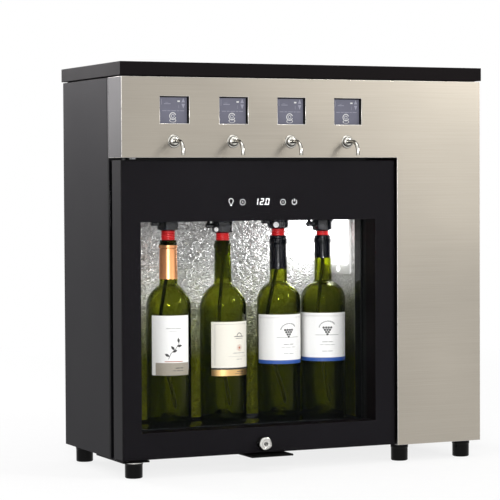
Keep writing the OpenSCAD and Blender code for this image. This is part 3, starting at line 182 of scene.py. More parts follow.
def make_floor():
    """Pale floor that blends into the white behind and keeps the object's shadow."""
    mesh = bpy.data.meshes.new("floor")
    corners = [(x * FLOOR_REACH, y * FLOOR_REACH, 0)
               for x, y in ((-1, -1), (1, -1), (1, 1), (-1, 1))]
    mesh.from_pydata(corners, [], [(0, 1, 2, 3)])
    floor = bpy.data.objects.new("floor", mesh)
    bpy.context.scene.collection.objects.link(floor)
    paint = Shader("floor_pale", (0.9, 0.9, 0.9), 0.7, Specular_IOR_Level=0.1)
    paint.tint(paint.noise(40, detail=3), (0.88,) * 3, (0.92,) * 3)
    glow = paint.node("ShaderNodeEmission", {"Color": (1, 1, 1, 1)})
    # Whiter with distance, so that no horizon shows
    distance = paint.node("ShaderNodeVectorMath", operation="LENGTH")
    paint.link(paint.coords(), distance.inputs[0])
    far = paint.ranged(distance.outputs["Value"], *WHITE_SHARE, *WHITE_FROM)
    share = paint.node("ShaderNodeMath", operation="MULTIPLY")
    paint.link(far, share.inputs[0])
    paint.link(seen_share(paint.tree, 0.0, 1.0), share.inputs[1])
    mix = paint.node("ShaderNodeMixShader")
    paint.link(share.outputs[0], mix.inputs["Fac"])
    paint.link(paint.bsdf.outputs["BSDF"], mix.inputs[1])
    paint.link(glow.outputs[0], mix.inputs[2])
    paint.link(mix.outputs[0], paint.output.inputs["Surface"])
    mesh.materials.append(paint.material)
    floor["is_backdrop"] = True


# ---------------------------------------------------------------- materials


class Shader:
    """A procedural material: a Principled surface with noise, ramps and bump on it."""

    def __init__(self, name, color, roughness=0.5, metallic=0.0, **inputs):
        self.material = bpy.data.materials.new(name)
        self.material.use_nodes = True
        self.tree = self.material.node_tree
        self.bsdf = self.tree.nodes["Principled BSDF"]
        self.output = self.tree.nodes["Material Output"]
        self.base = self.bsdf.inputs["Base Color"]
        self.base.default_value = (*color, 1)
        self.bsdf.inputs["Roughness"].default_value = roughness
        self.bsdf.inputs["Metallic"].default_value = metallic
        for socket, value in inputs.items():
            self.bsdf.inputs[socket.replace("_", " ")].default_value = value
        self.normal = None

    def node(self, kind, values=None, **settings):
        """A new node with its settings, and the values of its sockets."""
        made = self.tree.nodes.new(kind)
        for key, value in settings.items():
            setattr(made, key, value)
        for socket, value in (values or {}).items():
            made.inputs[socket].default_value = value
        return made

    def link(self, source, target):
        self.tree.links.new(source, target)

    def coords(self, stretch=(1, 1, 1)):
        """Place on the object, in metres, with each axis stretched."""
        place = self.node("ShaderNodeTexCoord")
        scale = self.node("ShaderNodeVectorMath", {1: stretch}, operation="MULTIPLY")
        self.link(place.outputs["Object"], scale.inputs[0])
        return scale.outputs[0]

    def height(self):
        """Height over the ground, in millimetres."""
        parts = self.node("ShaderNodeSeparateXYZ")
        self.link(self.coords((0, 0, 1 / MM)), parts.inputs[0])
        return parts.outputs["Z"]

    def noise(self, scale, stretch=(1, 1, 1), detail=2.0, roughness=0.5, distortion=0.0):
        made = self.node("ShaderNodeTexNoise", {"Scale": scale, "Detail": detail,
                                                "Roughness": roughness, "Distortion": distortion})
        self.link(self.coords(stretch), made.inputs["Vector"])
        return made.outputs["Fac"]

    def cells(self, scale, stretch=(1, 1, 1)):
        made = self.node("ShaderNodeTexVoronoi", {"Scale": scale}, feature="F1")
        self.link(self.coords(stretch), made.inputs["Vector"])
        return made.outputs["Distance"]

    def ranged(self, value, low, high, start=0.3, end=0.7):
        made = self.node("ShaderNodeMapRange", {"From Min": start, "From Max": end,
                                                "To Min": low, "To Max": high})
        self.link(value, made.inputs["Value"])
        return made.outputs["Result"]

    def turned_away(self, low, high, start, end):
        """A share by how far the surface turns away from the eye."""
        facing = self.node("ShaderNodeLayerWeight", {"Blend": 0.5})
        return self.ranged(facing.outputs["Facing"], low, high, start, end)

    def tint(self, value, dark, light, start=0.3, end=0.7):
        """Base colour that runs from dark to light with a value."""
        made = self.node("ShaderNodeValToRGB")
        ends = zip(made.color_ramp.elements, (start, end), (dark, light))
        for element, position, color in ends:
            element.position = position
            element.color = (*color, 1)
        self.link(value, made.inputs["Fac"])
        self.link(made.outputs["Color"], self.base)

    def dim(self, share):
        """Scales the base colour made so far by a value."""
        made = self.node("ShaderNodeVectorMath", operation="SCALE")
        self.link(self.base.links[0].from_socket, made.inputs[0])
        self.link(share, made.inputs["Scale"])
        self.link(made.outputs[0], self.base)

    def rough(self, value, low, high):
        self.link(self.ranged(value, low, high), self.bsdf.inputs["Roughness"])

    def bump(self, height, strength, depth_mm):
        made = self.node("ShaderNodeBump", {"Strength": strength, "Distance": depth_mm * MM})
        self.link(height, made.inputs["Height"])
        if self.normal:
            self.link(self.normal, made.inputs["Normal"])
        self.normal = made.outputs["Normal"]
        self.link(self.normal, self.bsdf.inputs["Normal"])


def shade(color, share):
    return tuple(c * share for c in color)


def mottle(name, color, roughness, cloud, tints, roughs, bump, metallic=0.0,
           stretch=(1, 1, 1), **inputs):
    """A surface whose colour and roughness follow one noise, with a finer bump over it.

    cloud is the noise's scale and detail, tints are shares of the colour, and bump is
    the scale and detail of its own noise, its strength and its depth in millimetres.
    """
    made = Shader(name, color, roughness, metallic, **inputs)
    value = made.noise(cloud[0], stretch, cloud[1])
    made.tint(value, shade(color, tints[0]), shade(color, tints[1]))
    if roughs:
        made.rough(value, *roughs)
    scale, detail, strength, depth_mm = bump
    made.bump(made.noise(scale, detail=detail), strength, depth_mm)
    return made


def brushed_steel(name, color, roughness=0.34):
    """Sheet steel brushed sideways: fine streaks along X and Y."""
    made = Shader(name, color, roughness, 1.0, Anisotropic=0.5, Anisotropic_Rotation=0.25)
    tangent = made.node("ShaderNodeTangent", direction_type="RADIAL", axis="Z")
    made.link(tangent.outputs[0], made.bsdf.inputs["Tangent"])
    streaks = made.noise(1, (7, 7, 1500), detail=4, roughness=0.62)
    cloud = made.noise(3.5, (1, 1, 1.6), detail=3)
    made.tint(streaks, shade(color, 0.93), shade(color, 1.05))
    made.rough(cloud, roughness - 0.05, roughness + 0.05)
    made.bump(streaks, 0.12, 0.02)
    return made.material


def textured_coat(name, color, roughness=0.5, grain_mm=0.5, depth_mm=0.03, level=0.5):
    """Powder coat or moulded plastic with a fine grain."""
    return mottle(name, color, roughness, (4, 4), (0.86, 1.14),
                  (roughness - 0.05, roughness + 0.06),
                  (1000 / grain_mm / 2, 2, 0.25, depth_mm), Specular_IOR_Level=level).material


def gloss_plastic(name, color, roughness, level=0.5):
    return mottle(name, color, roughness, (30, 3), (0.93, 1.07),
                  (roughness * 0.8, roughness * 1.3), (150, 1, 0.04, 0.05),
                  Specular_IOR_Level=level).material


def polished_metal(name, color, roughness, rim=1.0, under=1.0):
    """Bright metal. A rim under 1 paints shade where it turns away, for the dark surroundings it
    would reflect, and under paints shade on its lower side.
    """
    made = mottle(name, color, roughness, (60, 3), (0.95, 1.03),
                  (roughness * 0.7, roughness * 1.6), (300, 1, 0.03, 0.02), 1.0, (1, 1, 4))
    if rim < 1:
        # Painted shade at the rim: darker where the surface turns away from the eye
        made.dim(made.turned_away(1.0, rim, 0.1, 0.5))
    if under < 1:
        # Painted shade from below: darker on faces that look down
        normal = made.node("ShaderNodeSeparateXYZ")
        made.link(made.node("ShaderNodeNewGeometry").outputs["Normal"], normal.inputs[0])
        made.dim(made.ranged(normal.outputs["Z"], under, 1.0, -0.4, 0.1))
    return made.material


def satin_metal(name, color, roughness=0.38, grain_mm=0.6):
    return mottle(name, color, roughness, (9, 4), (0.9, 1.06),
                  (roughness - 0.08, roughness + 0.08),
                  (1000 / grain_mm, 2, 0.15, 0.03), 1.0).material


LIGHT_FOOT = (165.0, 262.0)  # heights between which the wall's painted green shade fades out
GREEN_LIGHT = (0.285, 0.295, 0.02, 1)


def stucco_sheet(name, color):
    """Aluminium sheet embossed with short worm-like ridges, painted lighter on their crests and
    darker in their hollows, with painted green shade towards the foot.
    """
    made = Shader(name, color, 0.3, 1.0)
    ridges = made.noise(175, (1, 1, 1.25), detail=1.5, distortion=1.6)
    fine = made.node("ShaderNodeTexVoronoi", {"Scale": 420}, feature="SMOOTH_F1")
    fine.inputs["Smoothness"].default_value = 0.5
    made.link(made.coords(), fine.inputs["Vector"])
    # Painted highlight and shade: the crests of the ridges lighter, their hollows darker, by the
    # bump's own noise
    made.tint(ridges, shade(color, 0.64), shade(color, 1.18), 0.34, 0.64)
    # Painted shade towards the foot, darker and greener, for the light that the green glass lets
    # through
    foot = made.ranged(made.height(), 1.0, 0.0, *LIGHT_FOOT)
    mix = made.node("ShaderNodeMix", {"B": GREEN_LIGHT}, data_type="RGBA", blend_type="MULTIPLY")
    made.link(foot, mix.inputs["Factor"])
    made.link(made.base.links[0].from_socket, mix.inputs["A"])
    made.link(mix.outputs["Result"], made.base)
    made.rough(ridges, 0.28, 0.36)
    made.bump(ridges, 0.8, 2.4)
    made.bump(fine.outputs["Distance"], 0.4, 0.8)
    return made.material


def rubber(name, color, roughness, level):
    return mottle(name, color, roughness, (25, 5), (0.85, 1.25),
                  (roughness - 0.1, roughness + 0.1), (900, 2, 0.12, 0.05),
                  Specular_IOR_Level=level).material


def silicone(name, color, roughness=0.32):
    return mottle(name, color, roughness, (80, 3), (0.9, 1.08),
                  (roughness - 0.06, roughness + 0.08), (700, 1, 0.05, 0.05),
                  Subsurface_Weight=0.15, Subsurface_Radius=(1.0, 0.3, 0.2),
                  Subsurface_Scale=1.5 * MM).material


def pane_glass(name):
    """Clear pane: a thin share of surface over what is behind it."""
    made = Shader(name, (0.02, 0.026, 0.024), 0.02, Alpha=0.014)
    smear = made.noise(7, detail=3)
    made.rough(smear, 0.01, 0.04)
    made.tint(smear, (0.018, 0.024, 0.022), (0.024, 0.03, 0.028))
    made.material.blend_method = "BLEND"
    return made.material


def bottle_glass(name, neck_z):
    """Olive glass whose colour lies in its depth, so that its edges are dark, with painted shade
    that darkens them more.

    The neck above neck_z, a height in millimetres, is darker by its surface.
    """
    clear, dark = (0.97, 0.98, 0.9), (0.5, 0.55, 0.3)
    made = Shader(name, clear, 0.0, Transmission_Weight=1.0, IOR=1.5, Specular_IOR_Level=0.14,
                  Specular_Tint=(0.3, 0.32, 0.02, 1))
    neck = made.ranged(made.height(), 0.0, 1.0, neck_z - 3, neck_z)
    made.tint(neck, clear, dark, 0.0, 1.0)
    # Painted shade where the glass turns away from the eye, over the darkening that its depth gives
    made.dim(made.turned_away(1.0, 0.1, 0.38, 0.8))
    depth = made.node("ShaderNodeVolumeAbsorption",
                      {"Color": (0.71, 0.735, 0.02, 1), "Density": 800.0})
    made.link(depth.outputs[0], made.output.inputs["Volume"])
    made.bump(made.noise(14, (1, 1, 0.6), detail=2), 0.05, 1.2)
    return made.material


def paper(name, color):
    return mottle(name, color, 0.6, (600, 4), (0.965, 1), None, (600, 4, 0.08, 0.04),
                  Specular_IOR_Level=0.3).material


def ink(name, color):
    return mottle(name, color, 0.45, (900, 2), (0.85, 1.08), None,
                  (1500, 1, 0.05, 0.01)).material


def glowing(name, color, strength):
    return mottle(name, color, 0.35, (50, 2), (0.96, 1), None, (400, 1, 0.05, 0.05),
                  Emission_Color=(*color, 1), Emission_Strength=strength).material


def display_face(name, color):
    """Dim grey-blue screen with a little light of its own."""
    return mottle(name, color, 0.22, (60, 2), (0.94, 1.06), None, (400, 1, 0.03, 0.02),
                  Specular_IOR_Level=0.2, Emission_Color=(*color, 1),
                  Emission_Strength=0.45).material


def circuit_board(name):
    made = Shader(name, (0.018, 0.09, 0.04), 0.35)
    tracks = made.cells(420, (1, 1, 0.35))
    made.tint(tracks, (0.012, 0.065, 0.028), (0.03, 0.13, 0.06), 0.2, 0.6)
    made.bump(tracks, 0.2, 0.1)
    return made.material


def foam(name):
    made = Shader(name, (0.84, 0.79, 0.58), 0.85)
    made.tint(made.noise(14, detail=4), (0.78, 0.7, 0.46), (0.88, 0.84, 0.66))
    made.bump(made.cells(300), 0.5, 1.0)
    return made.material


BLACK = (0.012, 0.012, 0.013)

# How each material slot's finish is made, its name, its colour, roughness and the rest
FINISHES = (
    (textured_coat, "cabinet_black", (0.013, 0.0125, 0.0145), 0.5, 1.1, 0.04, 0.05),
    (textured_coat, "lid_black", (0.0055, 0.0044, 0.0048), 0.45, 0.8, 0.015, 0.03),
    (brushed_steel, "stainless_front", (0.335, 0.307, 0.264)),
    (gloss_plastic, "throat_black", (0.003, 0.003, 0.0035), 0.06, 0.12),
    (stucco_sheet, "liner_aluminium", (0.71, 0.71, 0.705)),
    (foam, "foam"),
    (satin_metal, "zinc_sheet", (0.5, 0.51, 0.53), 0.42, 1.5),
    (gloss_plastic, "tray_black", (0.004, 0.004, 0.005), 0.06, 0.3),
    (gloss_plastic, "foot_rubber", (0.0015, 0.0015, 0.0015), 0.1, 0.1),
    (polished_metal, "screw_steel", (0.55, 0.56, 0.57), 0.22),
    (textured_coat, "plate_black", (0.002, 0.002, 0.002), 0.45, 0.6, 0.03, 0.04),
    (polished_metal, "pin_chrome", (0.66, 0.65, 0.62), 0.2, 0.3),
    (gloss_plastic, "lamp_white", (0.82, 0.82, 0.8), 0.3),
    (glowing, "lamp_diffuser", (1.0, 1.0, 1.0), 2.5),
    (textured_coat, "housing_black", (0.003, 0.003, 0.003), 0.7, 0.8, 0.02, 0.1),
    (display_face, "display_tint", (0.085, 0.085, 0.11)),
    (circuit_board, "board_green"),
    (polished_metal, "tap_chrome", (0.74, 0.72, 0.66), 0.14, 0.12, 0.2),
    (satin_metal, "brass_fittings", (0.66, 0.48, 0.2), 0.26),
    (textured_coat, "valve_body", (0.03, 0.03, 0.033), 0.42),
    (silicone, "hose_clear", (0.78, 0.77, 0.72), 0.25),
    (silicone, "hose_blue", (0.03, 0.06, 0.32), 0.3),
    (gloss_plastic, "stopper_black", (0.006, 0.006, 0.013), 0.18, 0.8),
    (silicone, "seal_red", (0.72, 0.01, 0.014)),
    (gloss_plastic, "dip_black", (0.004, 0.004, 0.004), 0.3),
    (satin_metal, "capsule_foil", (0.95, 0.43, 0.19), 0.34),
    (paper, "label_paper", (0.95, 0.95, 0.94)),
    (satin_metal, "cylinder_aluminium", (0.6, 0.62, 0.64)),
    (textured_coat, "holder_black", BLACK, 0.5),
    (textured_coat, "module_ceramic", (0.85, 0.85, 0.83), 0.5),
    (satin_metal, "sink_aluminium", (0.66, 0.67, 0.69), 0.3),
    (textured_coat, "fan_black", BLACK, 0.45),
    (textured_coat, "inlet_black", BLACK, 0.4),
    (gloss_plastic, "rocker_red", (0.5, 0.012, 0.01), 0.2),
    (textured_coat, "knob_black", BLACK, 0.4),
    (textured_coat, "door_black", (0.010, 0.0095, 0.011), 0.48, 0.8, 0.02, 0.05),
    (pane_glass, "door_glass"),
    (rubber, "gasket_black", (0.006, 0.006, 0.006), 0.5, 0.08),
    (gloss_plastic, "bush_nylon", (0.012, 0.012, 0.012), 0.35),
)


def make_materials():
    return {name: make(name, *values) for make, name, *values in FINISHES}


# ---------------------------------------------------------------- mesh helpers

SAME_POINT = 2e-6  # metres
FLAT_ANGLE = math.radians(0.6)
SHARP_ANGLE = math.radians(32)
TUBE_ANGLE = math.radians(50)
SUBDIVIDED_ANGLE = math.radians(60)


def new_object(name, bm, material, body, slot, scale=MM):
    """Object from a bmesh in millimetres, riding on a body."""
    if scale != 1:
        bmesh.ops.scale(bm, vec=(scale,) * 3, verts=bm.verts)
    mesh = bpy.data.meshes.new(name)
    bm.to_mesh(mesh)
    bm.free()
    mesh.materials.append(material)
    made = bpy.data.objects.new(name, mesh)
    bpy.context.scene.collection.objects.link(made)
    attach(made, body)
    return made


def smooth_by_angle(bm, angle=SHARP_ANGLE):
    for face in bm.faces:
        face.smooth = True
    for edge in bm.edges:
        edge.smooth = len(edge.link_faces) == 2 and edge.calc_face_angle(0) < angle


def merged(node):
    """The node's solids as a bmesh in metres, with shared points and whole flat faces."""
    bm = bmesh.new()
    bm.from_mesh(frame["nodes"][node].data)
    bmesh.ops.remove_doubles(bm, verts=bm.verts, dist=SAME_POINT)
    bmesh.ops.dissolve_limit(bm, angle_limit=FLAT_ANGLE, use_dissolve_boundaries=False,
                             verts=bm.verts, edges=bm.edges)
    return bm


def paint_faces(made, material, test):
    """Gives the faces that pass a test a material of their own."""
    made.data.materials.append(material)
    index = len(made.data.materials) - 1
    for face in made.data.polygons:
        if test(face):
            face.material_index = index


BEVEL_ANGLE = math.radians(35)
BEVEL_ROOM = 2.4  # an edge is rounded when it is this many bevel widths long


def mark_bevels(bm, width):
    """Weights the sharp edges that are long enough for a bevel of this width."""
    layer = bm.edges.layers.float.new("bevel_weight_edge")
    for edge in bm.edges:
        if len(edge.link_faces) == 2 and edge.calc_face_angle(0) > BEVEL_ANGLE:
            edge[layer] = 1.0 if edge.calc_length() > BEVEL_ROOM * width * MM else 0.0


def add_bevel(made, width, segments):
    bevel = made.modifiers.new("round", "BEVEL")
    bevel.width = width * MM
    bevel.segments = segments
    bevel.limit_method = "WEIGHT"
    bevel.use_clamp_overlap = True
    weights = made.modifiers.new("even", "WEIGHTED_NORMAL")
    weights.keep_sharp = True


def dressed(node, materials, bevel=0.3, segments=2, subdivide=0):
    """A copy of a CAD node with whole faces and rounded edges, which stands for the node."""
    bm = merged(node)
    smooth_by_angle(bm, SUBDIVIDED_ANGLE if subdivide else SHARP_ANGLE)
    if not subdivide:
        mark_bevels(bm, bevel)
    slot = SLOT_OF[node]
    made = new_object(node + "_detailed", bm, materials[slot], BODY_OF[node], slot, scale=1)
    if subdivide:
        smooth = made.modifiers.new("smooth", "SUBSURF")
        smooth.levels = smooth.render_levels = subdivide
    else:
        add_bevel(made, bevel, segments)
    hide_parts(node)
    return made


def islands(bm):
    """The separate solids of a bmesh, each as a list of points."""
    left, found = set(bm.verts), []
    for first in bm.verts:
        if first not in left:
            continue
        left.remove(first)
        group, waiting = [], [first]
        while waiting:
            vert = waiting.pop()
            group.append(vert)
            for edge in vert.link_edges:
                other = edge.other_vert(vert)
                if other in left:
                    left.remove(other)
                    waiting.append(other)
        found.append(group)
    return found


def centres_x(node):
    """Middle of each of a node's solids along X, from the left."""
    bm = merged(node)
    found = sorted(sum((v.co.x for v in group), 0.0) / len(group) / MM for group in islands(bm))
    bm.free()
    return found


def bridge(bm, rings):
    """Faces between rings with the same number of points."""
    for low, high in zip(rings, rings[1:]):
        count = len(low)
        for k in range(count):
            bm.faces.new([low[k], low[(k + 1) % count], high[(k + 1) % count], high[k]])


def turned(axis):
    """Rotation that takes +Z to the axis."""
    return Vector(axis).to_track_quat("Z", "Y").to_matrix().to_4x4()


def add_lathe(bm, profile, at, axis=(0, 0, 1), steps=48):
    """Closed profile of (radius, height) points turned round an axis through a point."""
    place = Matrix.Translation(at) @ turned(axis)
    rings = []
    for radius, height in profile:
        if radius < 1e-6:
            rings.append([bm.verts.new(place @ Vector((0, 0, height)))])
        else:
            rings.append([bm.verts.new(place @ Vector((
                radius * math.cos(2 * math.pi * k / steps),
                radius * math.sin(2 * math.pi * k / steps), height))) for k in range(steps)])
    for low, high in zip(rings, rings[1:]):
        for k in range(steps):
            corners = [low[k % len(low)], low[(k + 1) % len(low)],
                       high[(k + 1) % len(high)], high[k % len(high)]]
            corners = list(dict.fromkeys(corners))
            if len(corners) > 2:
                bm.faces.new(corners)
    for ring, flip in ((rings[0], True), (rings[-1], False)):
        if len(ring) > 1:
            bm.faces.new(ring[::-1] if flip else ring)


def lathe(name, profile, at, material, slot, axis=(0, 0, 1), steps=48):
    """A turned piece, which rides on the cabinet."""
    bm = bmesh.new()
    add_lathe(bm, profile, Vector(at), axis, steps)
    bmesh.ops.recalc_face_normals(bm, faces=bm.faces)
    smooth_by_angle(bm)
    return new_object(name, bm, material, "cabinet", slot)


def arc(cx, cy, radius, start, end, steps):
    """Points of an arc, in degrees."""
    return [(cx + radius * math.cos(math.radians(start + (end - start) * k / steps)),
             cy + radius * math.sin(math.radians(start + (end - start) * k / steps)))
            for k in range(steps + 1)]


# ---------------------------------------------------------------- printed shapes


def bar(x0, y0, x1, y1):
    return [[(x0, y0), (x1, y0), (x1, y1), (x0, y1)]]


def disc(x, y, radius, steps=20):
    return [arc(x, y, radius, 0, 360 - 360 / steps, steps - 1)]


def ring(x, y, radius, width, start=0, end=360, steps=24):
    """Band of a circle as quads."""
    outer = arc(x, y, radius, start, end, steps)
    inner = arc(x, y, radius - width, start, end, steps)
    return [[inner[k], outer[k], outer[k + 1], inner[k + 1]] for k in range(steps)]


def stroke(points, width):
    """Line of even width through points, one quad a stretch."""
    quads = []
    for (x0, y0), (x1, y1) in zip(points, points[1:]):
        length = math.hypot(x1 - x0, y1 - y0)
        nx, ny = -(y1 - y0) / length * width / 2, (x1 - x0) / length * width / 2
        quads.append([(x0 - nx, y0 - ny), (x1 - nx, y1 - ny),
                      (x1 + nx, y1 + ny), (x0 + nx, y0 + ny)])
    return quads


def printed(name, shapes, place, thick, material, body, slot, cut=None):
    """Thin closed pieces from flat shapes. place takes (u, v, height) to a point."""
    bm = bmesh.new()
    for shape in shapes:
        bm.faces.new([bm.verts.new((u, v, 0)) for u, v in shape])
    if cut:
        low = min(v.co.x for v in bm.verts)
        high = max(v.co.x for v in bm.verts)
        for k in range(math.ceil(low / cut), math.floor(high / cut) + 1):
            bmesh.ops.bisect_plane(bm, geom=bm.verts[:] + bm.edges[:] + bm.faces[:], dist=1e-5,
                                   plane_co=(k * cut, 0, 0), plane_no=(1, 0, 0))
    bmesh.ops.recalc_face_normals(bm, faces=bm.faces)
    for face in bm.faces:
        if face.normal.z < 0:
            face.normal_flip()
    walls = []
    tops = {v: bm.verts.new((v.co.x, v.co.y, thick)) for v in bm.verts[:]}
    for face in bm.faces[:]:
        walls.append([tops[v] for v in face.verts])
        for loop in face.loops:
            if len(loop.edge.link_faces) == 1:
                a, b = loop.vert, loop.link_loop_next.vert
                walls.append([a, b, tops[b], tops[a]])
    for face in bm.faces[:]:
        face.normal_flip()
    for corners in walls:
        bm.faces.new(corners)
    for vert in bm.verts:
        vert.co = place(*vert.co)
    bmesh.ops.recalc_face_normals(bm, faces=bm.faces)
    return new_object(name, bm, material, body, slot)


def on_front(x0, y, z0):
    """Places shapes on a plane that faces the front, standing out towards -Y."""
    return lambda u, v, h: Vector((x0 + u, y - h, z0 + v))


def round_bottle(i, turn, z0, lift):
    """Wraps shapes round a bottle. turn is from the front towards the left, in degrees."""
    bottle = BOTTLES[i]

    def place(u, v, h):
        angle = math.radians(turn) - u / bottle.radius
        reach = bottle.radius + lift + h
        return Vector((bottle.x - reach * math.sin(angle), bottle.y - reach * math.cos(angle),
                       z0 + v))
    return place


# ---------------------------------------------------------------- bottles


class Bottle:
    def __init__(self, node):
        low, high = box(node)
        self.node = node
        self.x, self.y = (low.x + high.x) / 2, (low.y + high.y) / 2
        self.foot, self.mouth = low.z, high.z
        self.radius = (high.x - low.x) / 2

    def at(self, z):
        return Vector((self.x, self.y, z))


BOTTLES = [Bottle(f"wine_bottle_{k}") for k in range(1, 5)]
WALL = 3.0
BODY_H = (191.0, 187.0, 197.0, 197.0)  # height of the straight body, by bottle
NECK_Z = 230.0
NECK_FOOT_R = 14.4
NECK_TOP_R = 13.4
NECK_FILLET = 0.14  # share of the shoulder's radii that the arc into the neck has
MOUTH_R = 9.3
LIP_OUT = 1.2
HEEL_R = 6.0
PUNT_H = 18.0
PUNT_R = 10.0
FOOT_INSET = 12.0
BORE_L = 30.0


def neck_radius(bottle, z):
    height = bottle.mouth - bottle.foot
    return NECK_FOOT_R + (NECK_TOP_R - NECK_FOOT_R) * (z - NECK_Z) / (height - NECK_Z)


def shoulder_points(bottle, inset, steps=18):
    """A wide arc over the body, then a small one into the neck, moved in by the inset."""
    body = BODY_H[BOTTLES.index(bottle)]
    across, rise = bottle.radius - NECK_FOOT_R, NECK_Z - body
    turn = 2 * math.degrees(math.atan2(across, rise))
    both = rise / math.sin(math.radians(turn))
    small = both * NECK_FILLET
    wide = both - small
    points = arc(bottle.radius - wide, body, wide - inset, 0, turn, steps)
    fillet = arc(NECK_FOOT_R + small, NECK_Z, small + inset, 180 + turn, 180, steps // 2)
    return points + fillet[1:]


def lip_points(bottle):
    """Outer line of the mouth, with its ring and soft corners."""
    top = bottle.mouth - bottle.foot
    ring_r = NECK_TOP_R + LIP_OUT
    return ([(neck_radius(bottle, top - 13.4), top - 13.4)]
            + arc(ring_r - 1, top - 12, 1, -60, 0, 4) + arc(ring_r - 1, top - 6, 1, 0, 60, 4)
            + [(NECK_TOP_R, top - 4.6)] + arc(NECK_TOP_R - 1.4, top - 1.4, 1.4, 0, 90, 5)
            + arc(MOUTH_R + 0.8, top - 0.8, 0.8, 90, 180, 4))


def make_bottle(bottle):
    """Hollow bottle with a punt, heel, shoulder, neck and lip ring."""
    radius = bottle.radius
    outer = ([(0, PUNT_H), (PUNT_R * 0.5, PUNT_H - 0.8), (PUNT_R, PUNT_H - WALL),
              (radius - FOOT_INSET - 5, 5), (radius - FOOT_INSET - 2, 1.6),
              (radius - FOOT_INSET, 0)]
             + arc(radius - HEEL_R, HEEL_R, HEEL_R, -90, 0, 8)
             + shoulder_points(bottle, 0) + lip_points(bottle))
    height = bottle.mouth - bottle.foot
    # Dark at the mouth everywhere, and over the whole neck of one bottle
    dark = bottle.foot + NECK_Z + 6 if bottle is BOTTLES[1] else bottle.mouth - 14
    glass = bottle_glass(bottle.node + "_olive", dark)
    inner = ([(MOUTH_R, height - BORE_L + 6), (MOUTH_R + 0.4, height - BORE_L),
              (NECK_FOOT_R - WALL, NECK_Z)]
             + shoulder_points(bottle, WALL)[-2::-1]
             + arc(radius - WALL - 6, HEEL_R + WALL + 4, 6, 0, -80, 6)
             + [(radius - FOOT_INSET - 4, WALL + 4), (PUNT_R, PUNT_H + WALL),
                (PUNT_R * 0.5, PUNT_H + WALL + 1.4), (0, PUNT_H + WALL + 2)])
    made = lathe(bottle.node + "_glass", outer + inner, bottle.at(bottle.foot), glass,
                 "bottle_glass", steps=96)
    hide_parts(bottle.node)


CAPSULE_T = 0.34
COPPER_CUT = 8.0
# Length of the capsule and whether it is copper or black, by bottle
CAPSULES = {0: (62.0, "copper"), 2: (54.0, "black"), 3: (37.0, "black")}


def make_capsules(materials):
    foils = {"copper": materials["capsule_foil"],
             "black": gloss_plastic("capsule_black", (0.002, 0.002, 0.005), 0.2, level=0.2)}
    for i, (length, foil) in CAPSULES.items():
        bottle = BOTTLES[i]
        top = bottle.mouth - bottle.foot
        base = top - length
        core = [(neck_radius(bottle, base), base)] + lip_points(bottle)[:-4]
        if foil == "copper":
            # Cut back to the lip ring, so that the dark mouth shows above it
            core = core[:7] + [(NECK_TOP_R + LIP_OUT, top - COPPER_CUT)]
        # The foil follows the glass, with a rolled lower edge and a bead under the lip
        skin = [(r + CAPSULE_T, z) for r, z in core]
        skin[0] = (skin[0][0] + 0.1, base)
        skin.insert(1, (neck_radius(bottle, base + 0.8) + CAPSULE_T, base + 0.8))
        profile = skin + core[::-1]
        made = lathe(f"capsule_{i + 1}", profile + profile[:1], bottle.at(bottle.foot),
                     foils[foil], "capsule_foil", steps=72)
        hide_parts("bottle_capsules")


HEAD_R = 17.5
HEAD_H = 26.0
SEAL_R = 11.0
SEAL_L = 24
HOSE_R = 4
PORT_OUT = 25
PORT_Z = 12
PORT_R = 4
PORT_L = PORT_OUT + PORT_R + 2 - HEAD_R  # from the elbow into the head
PORT = [(0, 0), (PORT_R - 0.6, 0), (PORT_R, 0.6), (PORT_R, PORT_L), (0, PORT_L)]
BARB_R = 2.4
BARB_L = 18
BARB = [(0, 0), (BARB_R, 0), (BARB_R, 3.5), (BARB_R + 0.6, 4), (BARB_R, 6), (BARB_R, BARB_L),
        (0, BARB_L)]
# How far each seal stands out of its bottle
SEAL_SHOW = (15.0, 12.0, 11.3, 7.0)
# White vent plug, by bottle: angle from the front towards the left, height and radius
VENT_PLUGS = {1: (58, 6.0, 3.6), 2: (36, 6.6, 4.6)}


